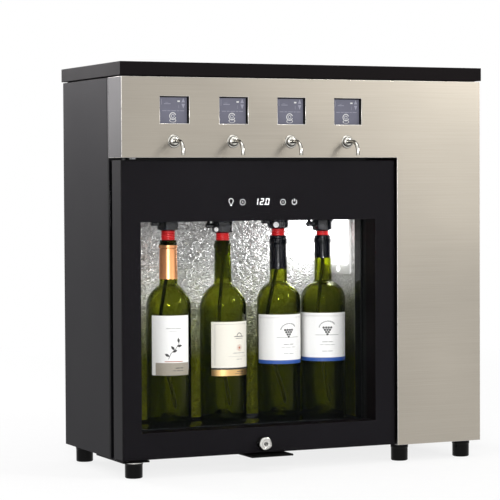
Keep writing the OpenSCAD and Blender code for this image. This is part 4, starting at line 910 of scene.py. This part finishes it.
def make_stoppers(materials):
    """Rounded heads with a ribbed red seal, a gas port and, on two, a white vent plug."""
    black, red = materials["stopper_black"], materials["seal_red"]
    # Painted light: the white vent plugs glow a little, though they are no lamp
    white = glowing("vent_white_painted_glow", (0.9, 0.9, 0.9), 0.35)
    for i, bottle in enumerate(BOTTLES):
        at = bottle.at(bottle.mouth + SEAL_SHOW[i])
        neck = HEAD_H + 8
        profile = ([(0, 0), (SEAL_R + 0.4, 0), (SEAL_R + 1, 0.5)]
                   + arc(HEAD_R - 3.4, 4.2, 3.4, -62, 0, 6)
                   + [(HEAD_R, 11.4), (HEAD_R - 0.5, 11.8), (HEAD_R - 0.5, 12.6), (HEAD_R, 13)]
                   + arc(HEAD_R - 5, HEAD_H - 5, 5, 0, 90, 7)
                   + [(HOSE_R + 2, HEAD_H), (HOSE_R, HEAD_H + 2), (HOSE_R, neck), (0, neck)])
        for part, outline, out, rise, axis, steps in (
                ("head", profile, 0, 0, (0, 0, 1), 64),
                ("port", PORT, PORT_OUT + PORT_R, PORT_Z, (1, 0, 0), 32),
                ("barb", BARB, PORT_OUT, PORT_Z, (0, 0, 1), 32)):
            piece = lathe(f"stopper_{part}_{i + 1}", outline, at + Vector((-out, 0, rise)), black,
                          "stopper_black", axis, steps)
            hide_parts("stopper_heads")
        show = SEAL_SHOW[i]
        ribs = max(2, round(show / 3.4))
        step = show / ribs
        skin = []
        for k in range(ribs):
            foot, top = k * step, (k + 1) * step
            skin += [(SEAL_R - 1.1, foot + 0.1), (SEAL_R - 0.2, foot + 0.5),
                     (SEAL_R, foot + 0.9), (SEAL_R, top - 0.8), (SEAL_R - 0.2, top - 0.4)]
        stem = [(2.7, -SEAL_L), (MOUTH_R - 1.6, -SEAL_L), (MOUTH_R - 0.5, -SEAL_L + 4),
                (MOUTH_R - 0.5, 0)]
        seal = lathe(f"stopper_seal_{i + 1}", stem + skin + [(SEAL_R - 1.1, show), (2.7, show)],
                     bottle.at(bottle.mouth), red, "seal_red", steps=56)
        edge = bottle.mouth * MM
        paint_faces(seal, materials["dip_black"], lambda face: face.center.z < edge)
        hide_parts("stopper_seals")
        if i in VENT_PLUGS:
            angle, rise, r = VENT_PLUGS[i]
            turn = math.radians(angle)
            out = Vector((-math.sin(turn), -math.cos(turn), 0))
            plug = [(0, 0), (r, 0), (r, 2.2), (r - 0.4, 2.8), (r - 1.4, 3), (r - 1.7, 2.6),
                    (0, 2.6)]
            lathe(f"vent_plug_{i + 1}", plug, at + out * (HEAD_R - 1) + Vector((0, 0, rise)),
                  white, "stopper_black", axis=out, steps=32)


# ---------------------------------------------------------------- labels


def leaf(x, y, length, width, angle):
    """Pointed leaf as one convex outline."""
    turn = math.radians(angle)
    half = 6
    edge = [(length * k / half, width / 2 * math.sin(math.pi * k / half)) for k in range(half + 1)]
    outline = edge + [(u, -v) for u, v in edge[-2:0:-1]]
    return [[(x + u * math.cos(turn) - v * math.sin(turn),
              y + u * math.sin(turn) + v * math.cos(turn)) for u, v in outline]]


def text_bars(x, y, widths, height, gap):
    """Row of short bars that stands for a line of small print, centred on x."""
    total = sum(widths) + gap * (len(widths) - 1)
    shapes, at = [], x - total / 2
    for width in widths:
        shapes += bar(at, y, at + width, y + height)
        at += width + gap
    return shapes


PAPER_T = 0.22
THICK_T = 0.26
STRIP_T = 0.3
INK_T = 0.03
INK_LIFT = PAPER_T + 0.01
HIGH_INK = 0.28


def wrap(i, rows):
    """Papers and prints round one bottle.

    A row is the part's name, the turn to its middle, its height over the foot, its lift
    off the glass, its thickness, its material and its shapes.
    """
    for part, turn, low, lift, thick, material, shapes in rows:
        place = round_bottle(i, turn, BOTTLES[0].foot + low, lift)
        piece = printed(f"label_{i + 1}{part}", shapes, place, thick, material, "cabinet",
                        "label_paper", cut=1.5)
        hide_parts("bottle_labels")


def sheet(half_width, height):
    return bar(-half_width, 0, half_width, height)


def grapes(x, y, r):
    """Bunch of grapes, one fewer in each row down."""
    shapes = []
    for row, count in enumerate((4, 3, 2, 1)):
        for k in range(count):
            shapes += disc(x + (k - (count - 1) / 2) * 2 * r, y - row * 1.75 * r, r * 0.92, 12)
    return shapes


def make_labels(materials):
    white = materials["label_paper"]
    cream = paper("label_cream", (0.86, 0.83, 0.74))
    taupe = paper("label_taupe", (0.36, 0.325, 0.27))
    gold = satin_metal("label_gold", (0.72, 0.47, 0.2), 0.34)
    blue = ink("label_blue", (0.02, 0.085, 0.36))
    dark = ink("label_ink", (0.035, 0.033, 0.035))
    grey = ink("label_grey", (0.38, 0.38, 0.38))
    rust = ink("label_rust", (0.42, 0.12, 0.05))

    # First bottle: white label, vine sprig, taupe strip along the foot
    sprig = stroke([(-9, 18), (-5, 27), (2, 33), (9, 44)], 0.9)
    for x, y, angle in ((-7, 22, 150), (-3, 29, 20), (1, 32, 130), (5, 38, 10), (8, 43, 95)):
        sprig += leaf(x, y, 9, 4.2, angle)
    band = stroke([(-15, 14), (15, 14)], 1.3) + stroke([(-13, 11), (13, 11)], 0.6)
    lines = text_bars(0, 66, (7, 5, 9), 1.1, 1.6) + text_bars(0, 62, (4, 8), 0.8, 1.4)
    small = text_bars(4, 11, (7, 5), 1.2, 1.4) + text_bars(2, 7, (5, 6, 4), 0.8, 1.2)
    wrap(0, (("_back", 32, 84, 0, PAPER_T, white, sheet(24, 95)),
             ("", 13, 92, 0.01, THICK_T, white, sheet(31.5, 87)),
             ("_strip", 11, 84, 0.03, STRIP_T, taupe, sheet(29.5, 20)),
             ("_sprig", 9, 92, HIGH_INK, INK_T, dark, sprig),
             ("_band", 9, 92, HIGH_INK, INK_T, rust, band),
             ("_lines", 9, 92, HIGH_INK, INK_T, grey, lines),
             ("_small", 1, 84, 0.34, INK_T, dark, small)))

    # Second bottle: cream label with a fine frame, black line and gold strip
    frame_lines = (stroke([(-31, 4), (-31, 70)], 0.4) + stroke([(-29, 4), (-29, 70)], 0.25)
                   + stroke([(-31, 70), (34, 70)], 0.4) + stroke([(-8, 18), (31, 18)], 0.35))
    sun = disc(12, 32, 2.0) + ring(12, 32, 3.6, 0.6)
    for k in range(12):
        a = math.radians(30 * k)
        sun += stroke([(12 + 4.2 * math.cos(a), 32 + 4.2 * math.sin(a)),
                       (12 + 5.8 * math.cos(a), 32 + 5.8 * math.sin(a))], 0.6)
    mark = (ring(12, 51, 5.2, 1.1, 0, 180) + stroke([(2, 50), (22, 50)], 1.1)
            + stroke([(5, 47), (19, 47)], 0.7))
    lines = text_bars(12, 23, (8, 6, 7), 1.0, 1.5) + text_bars(12, 13, (6, 4), 0.8, 1.4)
    small = text_bars(14, 6, (6, 7), 1.0, 1.4) + text_bars(12, 3, (9, 8), 0.6, 1.4)
    wrap(1, (("", -1, 92, 0, PAPER_T, cream, sheet(36.5, 74)),
             ("_line", -1, 89.3, 0, PAPER_T, dark, sheet(36.5, 2.3)),
             ("_strip", -1, 79, 0, PAPER_T, gold, sheet(36.5, 10)),
             ("_frame", -1, 92, INK_LIFT, INK_T, grey, frame_lines),
             ("_sun", -1, 92, INK_LIFT, INK_T, rust, sun),
             ("_mark", -1, 92, INK_LIFT, INK_T, dark, mark),
             ("_lines", -1, 92, INK_LIFT, INK_T, grey, lines),
             ("_small", -1, 79, INK_LIFT, INK_T, dark, small)))

    # Third and fourth bottle: white label over a blue strip, an arch of leaves
    face, strip = 8, 6
    arch = []
    for k in range(9):
        a = math.radians(20 + 17.5 * k)
        arch += leaf(face + 13 * math.cos(a), 50 + 9 * math.sin(a), 5, 2.2, math.degrees(a) + 90)
    bars = (stroke([(face - 20, 37), (face + 20, 37)], 0.9) + text_bars(face, 25, (9, 7), 1.3, 1.6)
            + text_bars(face, 20.5, (6, 9, 7), 0.8, 1.4) + text_bars(face, 10, (8, 8), 1.0, 1.6))
    for i, turn, half, low, top in ((2, 11, 49.5, 95, 74), (3, 28, 50, 97, 73)):
        lines = (stroke([(-half, top - 4.5), (half, top - 4.5)], 0.35)
                 + stroke([(-half, top - 6), (half, top - 6)], 0.2))
        rows = [("", turn, low + strip, 0, PAPER_T, white, sheet(half, top)),
                ("_strip", turn, low, 0, PAPER_T, blue, sheet(half, strip))]
        for part, material, shapes in (("_frame", grey, lines), ("_arch", grey, arch),
                                       ("_grapes", dark, grapes(face, 49, 2.1)),
                                       ("_bars", grey, bars)):
            rows.append((part, turn, low + strip, INK_LIFT, INK_T, material, shapes))
        wrap(i, rows)


# ---------------------------------------------------------------- door

DOOR_LOW, DOOR_HIGH = box("door_glass")
FRAME_LOW, FRAME_HIGH = box("door_frame")
WINDOW_LEFT = 32.5
WINDOW_RIGHT = 35.0
WINDOW_TOP = 95.0
WINDOW_BOTTOM = 40.5
DOOR_MID = (DOOR_LOW.x + DOOR_HIGH.x) / 2
WINDOW = (DOOR_LOW.x + WINDOW_LEFT, DOOR_LOW.z + WINDOW_BOTTOM,
          DOOR_HIGH.x - WINDOW_RIGHT, DOOR_HIGH.z - WINDOW_TOP)
REVEAL = 0.004  # metres round the window in which the frame's edge gets painted shade
SIDEWAYS = 0.1  # most that a face of an edge turns to the front
PRINT_EDGE = 0.6  # from the print to the edge of the pane


def make_door(materials):
    door_frame = dressed("door_frame", materials, 0.8, 3)
    # Painted shade: a darker black on the frame's sides round the window
    reveal = textured_coat("reveal_painted_shade", (0.003, 0.0018, 0.0022), 0.5, 0.8, 0.02, 0.02)
    x0, z0, x1, z1 = [value * MM for value in WINDOW]
    paint_faces(door_frame, reveal, lambda face: (
        abs(face.normal.y) < SIDEWAYS and x0 - REVEAL < face.center.x < x1 + REVEAL
        and z0 - REVEAL < face.center.z < z1 + REVEAL))
    pane = dressed("door_glass", materials, 0.5, 3)
    # Painted shade: the same darker black on the edges of the pane
    paint_faces(pane, reveal, lambda face: abs(face.normal.y) < SIDEWAYS)
    dressed("inner_glass", materials, 0.3, 2)
    dressed("door_gasket", materials, 2.0, 4)
    # Black print on the back of the outer pane, open at the window
    coat = textured_coat("door_print", (0.0055, 0.0048, 0.0062), 0.4, 6, 0.002, 0.05)
    x0, z0, x1, z1 = WINDOW
    left, right = DOOR_LOW.x + PRINT_EDGE, DOOR_HIGH.x - PRINT_EDGE
    low, high = DOOR_LOW.z + PRINT_EDGE, DOOR_HIGH.z - PRINT_EDGE
    sheets = bar(left, low, right, z0) + bar(left, z1, right, high)
    sheets += bar(left, z0, x0, z1) + bar(x1, z0, right, z1)
    printed("door_print", sheets, on_front(0, DOOR_HIGH.y - 0.05, 0), 0.15, coat, "door",
            "door_black")


DIGIT_W = 6.4
DIGIT_H = 10.2
DIGIT_PITCH = 9.6
DIGIT_LEAN = 0.14
DIGIT_LINE = 1.5
SEGMENTS = {"0": "abcdef", "1": "bc", "2": "abged"}


def digit(character, x, y):
    """Seven-segment digit with its lower left corner at x, y."""
    gap, half = 0.25, DIGIT_LINE / 2
    left, right, top, mid = x + half, x + DIGIT_W - half, y + DIGIT_H, y + DIGIT_H / 2
    lines = {
        "a": ((left + gap, top - half), (right - gap, top - half)),
        "g": ((left + gap, mid), (right - gap, mid)),
        "d": ((left + gap, y + half), (right - gap, y + half)),
        "b": ((right, mid + gap), (right, top - gap)),
        "c": ((right, y + gap), (right, mid - gap)),
        "e": ((left, y + gap), (left, mid - gap)),
        "f": ((left, mid + gap), (left, top - gap)),
    }
    shapes = []
    for key in SEGMENTS[character]:
        shapes += stroke(list(lines[key]), DIGIT_LINE)
    return shapes


def lamp_icon(x, y):
    sides = [stroke([(x + 2.4 * s, y - 1.6), (x + 1.2 * s, y - 3.8)], 0.7) for s in (-1, 1)]
    return (ring(x, y + 1.6, 4.0, 0.7, -50, 230) + sides[0] + sides[1]
            + bar(x - 1.2, y - 6.0, x + 1.2, y - 4.2))


def spot_icon(x, y):
    return ring(x, y, 4.6, 0.6) + disc(x, y, 0.9)


def minus_icon(x, y):
    return ring(x, y, 4.6, 0.6) + bar(x - 1.3, y - 0.3, x + 1.3, y + 0.3)


def power_icon(x, y):
    return ring(x, y, 4.4, 0.8, 125, 415) + bar(x - 0.4, y + 0.8, x + 0.4, y + 5.4)


ROW_UP = 29.0  # the controls' row over the window
LAMP_X, SPOT_X, MINUS_X, POWER_X = -52.4, -32.5, 37.5, 57.4  # from the middle of the door
PRINT_T = 0.06
PRINT_IN = 0.24  # behind the back of the outer pane


def make_door_print(materials):
    white = glowing("print_white", (0.9, 0.9, 0.92), 0.55)
    digits = glowing("digits_white", (0.9, 0.9, 0.92), 0.5)
    row_z = WINDOW[3] + ROW_UP
    place = on_front(0, DOOR_HIGH.y - PRINT_IN, 0)
    icons = (lamp_icon(DOOR_MID + LAMP_X, row_z + 1) + spot_icon(DOOR_MID + SPOT_X, row_z + 0.4)
             + minus_icon(DOOR_MID + MINUS_X, row_z) + power_icon(DOOR_MID + POWER_X, row_z))
    printed("door_icons", icons, place, PRINT_T, white, "door", "door_black")
    start = DOOR_MID - (2 * DIGIT_PITCH + DIGIT_W) / 2
    base = row_z - DIGIT_H / 2 + 1
    shapes = []
    for k, character in enumerate("120"):
        shapes += digit(character, start + k * DIGIT_PITCH, base)
    shapes += disc(start + 2 * DIGIT_PITCH - 1.5, base + 0.8, 0.8)
    shapes = [[(x + (y - base) * DIGIT_LEAN, y) for x, y in shape] for shape in shapes]
    printed("door_digits", shapes, place, PRINT_T, digits, "door", "door_black")


BEZEL_STEPS = 64
BEZEL_CORNER = math.radians(65)
BEZEL_START = math.radians(8)


def make_lock(materials):
    """Lock with a rounded square bezel, a ringed face and a small keyhole."""
    mid = centre("lock_plug")
    low, high = box("lock_barrel")
    front = low.y
    # Radius, place along Y and share of a square
    levels = ((11.0, high.y - 8, 0.0), (11.0, front + 3.2, 0.0), (10.9, front + 1.4, 0.12),
              (10.2, front + 0.4, 0.16), (9.2, front, 0.18), (8.2, front, 0.0),
              (7.9, front + 0.7, 0.0), (6.6, front + 0.7, 0.0), (6.3, front + 0.2, 0.0),
              (6.06, front + 0.3, 0.0), (6.06, front + 9, 0.0))
    bm = bmesh.new()
    rings = []
    for radius, y, square in levels:
        points = []
        for k in range(BEZEL_STEPS):
            a = 2 * math.pi * k / BEZEL_STEPS + BEZEL_START
            reach = radius * (1 - square * 0.25 * (1 - math.cos(4 * (a - BEZEL_CORNER))))
            points.append(bm.verts.new((mid.x + reach * math.cos(a), y,
                                        mid.z + reach * math.sin(a))))
        rings.append(points)
    # Closed round the outside, behind the door's face
    bridge(bm, rings + rings[:1])
    bmesh.ops.recalc_face_normals(bm, faces=bm.faces)
    smooth_by_angle(bm)
    bezel = new_object("lock_bezel", bm, materials["pin_chrome"], "door", "pin_chrome")
    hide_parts("lock_barrel")
    dressed("lock_plug", materials, 0.35, 2)
    # Painted shade: a flat dark ring stands for the keyhole's hollow
    keyhole = gloss_plastic("keyhole_painted_shade", (0.04, 0.04, 0.036), 0.3)
    plug_front = box("lock_plug")[0].y
    printed("lock_keyhole", ring(0, 0, 3.7, 1.4, 15, 375, 6),
            on_front(mid.x, plug_front + 0.04, mid.z), 0.05, keyhole, "lock_core", "pin_chrome")
    dressed("lock_cam", materials, 0.4, 2)


# ---------------------------------------------------------------- displays and taps


HALF_SCREEN = (24.4, 21.0)
SHADE_TOP, SHADE_SIDE = 1.6, 1.2
MARK_T = 0.03
SHADE_T = 0.05


def oval(x, y, wide, high, width):
    """Flat ring that is wider than it is high."""
    return [[(u, y + (v - y) * high / wide) for u, v in shape] for shape in ring(x, y, wide, width)]


def make_displays(materials):
    dressed("display_housings", materials, 0.3, 2)
    dressed("display_lenses", materials, 0.2, 2)
    faint = glowing("display_marks", (0.16, 0.16, 0.2), 0.4)
    bright = glowing("display_bright", (0.42, 0.42, 0.42), 0.3)
    soft = [[(14.2, 11.8), (20.2, 11.8), (17.2, 18.6)], [(14.2, 9.6), (17.2, 2.4), (20.2, 9.6)]]
    soft += stroke([(-19, 8), (-19, 17)], 0.6)
    soft += stroke([(-15, 9.5), (-4, 9.5)], 0.9) + stroke([(-13, 11.6), (-8, 11.6)], 0.4)
    soft += text_bars(0.5, -1.6, (7, 5, 8, 4, 7), 0.8, 1.4) + stroke([(9.5, 3), (9.5, 8)], 0.4)
    dial = ring(-0.5, -9.4, 5.8, 1.2, 20, 340) + ring(-0.5, -9.4, 2.8, 0.7)
    dial += oval(-0.5, -16.2, 5.6, 2.9, 1.1)
    # Painted shade of the recess: a dark sheet on the screen along its top and its right
    half_w, half_h = HALF_SCREEN
    painted_recess_shade = bar(-half_w, half_h - SHADE_TOP, half_w, half_h)
    painted_recess_shade += bar(half_w - SHADE_SIDE, -half_h, half_w, half_h)
    low, high = box("display_lenses")
    for k, x in enumerate(centres_x("display_lenses")):
        place = on_front(x, low.y - 0.01, (low.z + high.z) / 2)
        for part, shapes, thick, material in (
                ("marks", soft, MARK_T, faint),
                ("marks_bright", bar(7.5, 12.4, 11.5, 14.6) + dial, MARK_T, bright),
                ("painted_recess_shade", painted_recess_shade, SHADE_T, materials["housing_black"])):
            printed(f"display_{part}_{k + 1}", shapes, place, thick, material, "cabinet",
                    "display_tint")


def add_sweep(bm, points, radii, sides=24):
    """Surface of a tube along points, left open at both ends. Returns its rings."""
    points = [Vector(p) for p in points]
    rings, side = [], None
    for k, point in enumerate(points):
        ahead = points[min(k + 1, len(points) - 1)] - points[max(k - 1, 0)]
        ahead.normalize()
        if side is None:
            side = ahead.orthogonal().normalized()
        side = (side - ahead * side.dot(ahead)).normalized()
        up = ahead.cross(side)
        rings.append([bm.verts.new(point + radii[k] * (
            side * math.cos(2 * math.pi * j / sides) + up * math.sin(2 * math.pi * j / sides)))
            for j in range(sides)])
    bridge(bm, rings)
    return rings


TUBE_R = 3.0
TUBE_BORE_R = 2.1
TAP_BEND_R = 17.0
TAP_BEND_STEPS = 14
TAP_SEAT = 21.7  # height of the tap's axis above its mouth


def tap_path(x, low, start_y):
    """From the front's face out, round the bend and down to the mouth."""
    mid_y = low.y + TUBE_R
    axis_z = low.z + TAP_SEAT
    points = [(x, start_y, axis_z), (x, mid_y + TAP_BEND_R + 3, axis_z)]
    for k in range(TAP_BEND_STEPS + 1):
        a = math.radians(90 * k / TAP_BEND_STEPS)
        points.append((x, mid_y + TAP_BEND_R - TAP_BEND_R * math.sin(a),
                       axis_z - TAP_BEND_R * (1 - math.cos(a))))
    return points + [(x, mid_y, low.z + 2.5), (x, mid_y, low.z)]


SHANK_R = 5.0
FLANGE_PLATE = [(0, 0), (10.3, 0), (10.3, 0.7), (9.6, 1.4), (8.1, 1.5)]
FLANGE_DOME_R = 3.6


def make_taps(materials):
    chrome = materials["tap_chrome"]
    low, high = box("tap_spouts")
    flange_low, flange_high = box("tap_flanges")
    front = flange_high.y
    for k, x in enumerate(centres_x("tap_spouts")):
        path = tap_path(x, low, high.y)
        bm = bmesh.new()
        radii = [TUBE_R] * len(path)
        radii[-1] = TUBE_R - 0.25
        outer = add_sweep(bm, path, radii)
        inner = add_sweep(bm, path[:-5:-1], [TUBE_BORE_R] * 4)
        bm.faces.new(inner[-1])
        bridge(bm, [outer[-1], inner[0]])
        bm.faces.new(outer[0])
        bmesh.ops.recalc_face_normals(bm, faces=bm.faces)
        smooth_by_angle(bm, TUBE_ANGLE)
        tube = new_object(f"tap_tube_{k + 1}", bm, chrome, "cabinet", "tap_chrome")
        axis_z = path[0][2]
        thread = [(0, 0)]
        for turn in range(int(high.y - front) - 6):
            thread += [(SHANK_R - 0.1, turn + 0.1), (SHANK_R - 0.6, turn + 0.6)]
        thread += [(0, thread[-1][1])]
        shank = lathe(f"tap_shank_{k + 1}", thread, (x, front + 0.2, axis_z), chrome,
                      "tap_chrome", axis=(0, 1, 0), steps=32)
        rise = front - flange_low.y
        profile = (FLANGE_PLATE + arc(4.4, rise - FLANGE_DOME_R, FLANGE_DOME_R, 0, 90, 8)
                   + [(3.4, rise - 0.1), (0, rise - 0.1)])
        flange = lathe(f"tap_flange_{k + 1}", profile, (x, front, axis_z), chrome,
                       "tap_chrome", axis=(0, -1, 0), steps=56)
        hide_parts("tap_spouts")
        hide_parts("tap_spouts")
        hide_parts("tap_flanges")
    dressed("tap_nuts", materials, 0.4, 2)


# ---------------------------------------------------------------- cabinet and the rest

# Node, width of its rounded edges and their segments
SHEETS = (
    ("top_lid", 0.9, 3), ("side_panel_left", 0.5, 2), ("side_panel_right", 0.5, 2),
    ("back_panel", 0.25, 1), ("base_pan", 0.3, 1), ("front_frame", 0.4, 2), ("liner", 0.3, 2),
    ("bottle_tray", 0.9, 3), ("lock_keeper", 0.6, 2), ("lamp_base", 0.8, 3),
    ("divider_wall", 0.3, 1), ("valve_shelf", 0.2, 1), ("insulation", 0.6, 1),
    ("circuit_boards", 0.2, 1), ("wine_valves", 0.6, 2), ("gas_manifold", 0.5, 2),
    ("gas_cylinder", 0.5, 1), ("cylinder_holder", 0.6, 2), ("gas_regulator", 0.5, 2),
    ("power_supply", 0.5, 1), ("peltier_module", 0.3, 1), ("cold_block", 0.5, 2),
    ("heat_sink", 0.2, 1), ("fan_frame", 0.6, 2), ("power_inlet", 0.4, 2),
    ("switch_housing", 0.4, 2), ("control_board", 0.2, 1), ("fan_rotor", 0.3, 1),
    ("switch_rocker", 0.4, 2), ("regulator_knob", 0.6, 2), ("body_screws", 0.5, 2))
DIP_SWELL = 0.7
FOLDED = -0.9  # a face of the folded end points this far or more to the left


def make_fascia(materials):
    """Brushed steel, with painted shade on the folded end and painted highlights on the bends."""
    made = dressed("front_fascia", materials, 0.9, 3)
    # Painted shade: a far darker copy of the steel on the folded end
    folded = brushed_steel("stainless_return_painted_shade", (0.018, 0.0172, 0.0165), 0.42)
    paint_faces(made, folded, lambda face: face.normal.x < FOLDED)
    # Painted highlight: a brighter copy of the steel on the rounded bends
    made.data.materials.append(polished_metal("stainless_edge_painted_highlight", (0.6, 0.58, 0.55), 0.3))
    made.modifiers["round"].material = len(made.data.materials) - 1


FOOT_TOP_R = 14.4
FOOT_BASE_R = 13.8
FOOT_BORE_R = 3.2
FOOT_HOLE_R = 5.0
FOOT_HOLE_H = 8


def make_feet(materials):
    """Round rubber feet with a soft lower edge, a collar and a screw hole from below."""
    bm = merged("feet")
    for k, group in enumerate(islands(bm)):
        spans = [[v.co[a] for v in group] for a in (0, 1)]
        x, y = [(min(span) + max(span)) / 2 / MM for span in spans]
        top = max(v.co.z for v in group) / MM
        hole = FOOT_HOLE_R
        profile = ([(FOOT_BORE_R, top), (FOOT_TOP_R - 0.6, top), (FOOT_TOP_R, top - 0.6),
                    (FOOT_TOP_R, top - 3.2), (FOOT_TOP_R - 0.5, top - 3.8)]
                   + arc(FOOT_BASE_R - 2.2, 2.2, 2.2, 0, -90, 6)
                   + [(hole + 0.6, 0), (hole, 0.6), (hole, FOOT_HOLE_H),
                      (FOOT_BORE_R, FOOT_HOLE_H)])
        foot = lathe(f"foot_{k + 1}", profile + profile[:1], (x, y, 0),
                     materials["foot_rubber"], "foot_rubber", steps=64)
        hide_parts("feet")
        if x < 0 and y < 0:
            # Only the front left foot shows a bright washer
            washer = [(6, top - 1.4), (FOOT_TOP_R + 0.3, top - 1.4), (FOOT_TOP_R + 0.5, top - 1.1),
                      (FOOT_TOP_R + 0.5, top - 0.3), (FOOT_TOP_R + 0.3, top), (6, top)]
            rim = lathe("foot_washer", washer + washer[:1], (x, y, 0),
                        materials["pin_chrome"], "foot_rubber", steps=64)
            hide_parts("feet")
    bm.free()


def make_hinges(materials):
    """Hinge plates and bushes, with the upper pin darker and the lower one bright."""
    dressed("hinge_plates", materials, 0.5, 2)
    dressed("hinge_bushes", materials, 0.4, 2)
    pins = dressed("hinge_pins", materials, 0.3, 2)
    dark = satin_metal("pin_upper_dark", (0.05, 0.05, 0.05), 0.4)
    middle = centre("door_frame").z * MM
    paint_faces(pins, dark, lambda face: face.center.z > middle)


HIGHLIGHT_W = 2.4
SHADOW_W = 5.2
SEAM_T = 0.05
SEAM_END = 0.5  # left free above and below
SEAM_SPLIT = 4  # over the door's frame, where the painted shadow beside the highlight gives way to that at the panel's edge


def make_seam(materials):
    """Painted highlight and painted shadow beside the steel, and painted shadow beside the door."""
    # Painted highlight: a lighter metal strip along the panel's front edge
    edge_highlight = satin_metal("painted_edge_highlight", (0.1, 0.098, 0.1), 0.5, 3)
    split = FRAME_HIGH.z + SEAM_SPLIT
    for node, side in (("side_panel_left", -1), ("side_panel_right", 1)):
        low, high = box(node)
        face = low.x if side < 0 else high.x

        def place(u, v, h):
            return Vector((face + side * (0.01 + h), u, v))
        start = low.y + 0.2
        top = high.z - SEAM_END
        # Painted shadow: dark strips beside the highlight, and along the panel's edge beside the
        # door
        dark = bar(start + HIGHLIGHT_W, split, start + HIGHLIGHT_W + SHADOW_W, top)
        dark += bar(start, low.z + SEAM_END, start + SHADOW_W, split)
        for part, shapes, material in (
                ("_painted_shadow", dark, materials["housing_black"]),
                ("_painted_highlight", bar(start, split, start + HIGHLIGHT_W, top), edge_highlight)):
            printed(node + part, shapes, place, SEAM_T, material, "cabinet", "cabinet_black")


LID_SHADOW_W = 2.4


def make_lid_shadow_strip(materials):
    """Black strip in the joint under the lid: painted shadow, so that the joint reads black."""
    low, high = box("front_fascia")
    back = box("back_panel")[1].y
    top = box("top_lid")[0].z
    left, right, front = low.x + 0.6, high.x - 0.6, low.y + 0.6
    outer = [(left, front), (right, front), (right, back - 1), (left, back - 1)]
    inner = [(x - math.copysign(LID_SHADOW_W, x), y - math.copysign(LID_SHADOW_W, y))
             for x, y in outer]
    bands = [[outer[k], outer[(k + 1) % 4], inner[(k + 1) % 4], inner[k]] for k in range(4)]
    printed("lid_painted_shadow", bands, lambda u, v, h: Vector((u, v, high.z + h)), top - high.z,
            materials["housing_black"], "cabinet", "lid_black")


def make_cabinet(materials):
    for node, width, segments in SHEETS:
        dressed(node, materials, width, segments)
    for node in ("wine_hoses", "gas_hoses"):
        dressed(node, materials, subdivide=1)
    # The dip tubes look thicker through the glass than they are
    dips = dressed("dip_tubes", materials, subdivide=1)
    swell = dips.modifiers.new("swell", "DISPLACE")
    swell.strength = DIP_SWELL * MM
    swell.mid_level = 0
    dressed("lamp_cover", materials, 1.5, 4)
    make_fascia(materials)
    make_hinges(materials)
    make_seam(materials)
    make_lid_shadow_strip(materials)
    make_feet(materials)


def main():
    make_camera()
    make_world()
    make_lights()
    make_floor()
    materials = make_materials()
    make_cabinet(materials)
    make_door(materials)
    make_door_print(materials)
    make_lock(materials)
    make_displays(materials)
    make_taps(materials)
    for bottle in BOTTLES:
        make_bottle(bottle)
    make_capsules(materials)
    make_stoppers(materials)
    make_labels(materials)


main()
bpy.context.scene.view_settings.view_transform = "Standard"


def corners(bounds):
    return [[float(value) for value in corner] for corner in bounds]


{"cad": corners(cad_bounds), "visual": corners(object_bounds())}
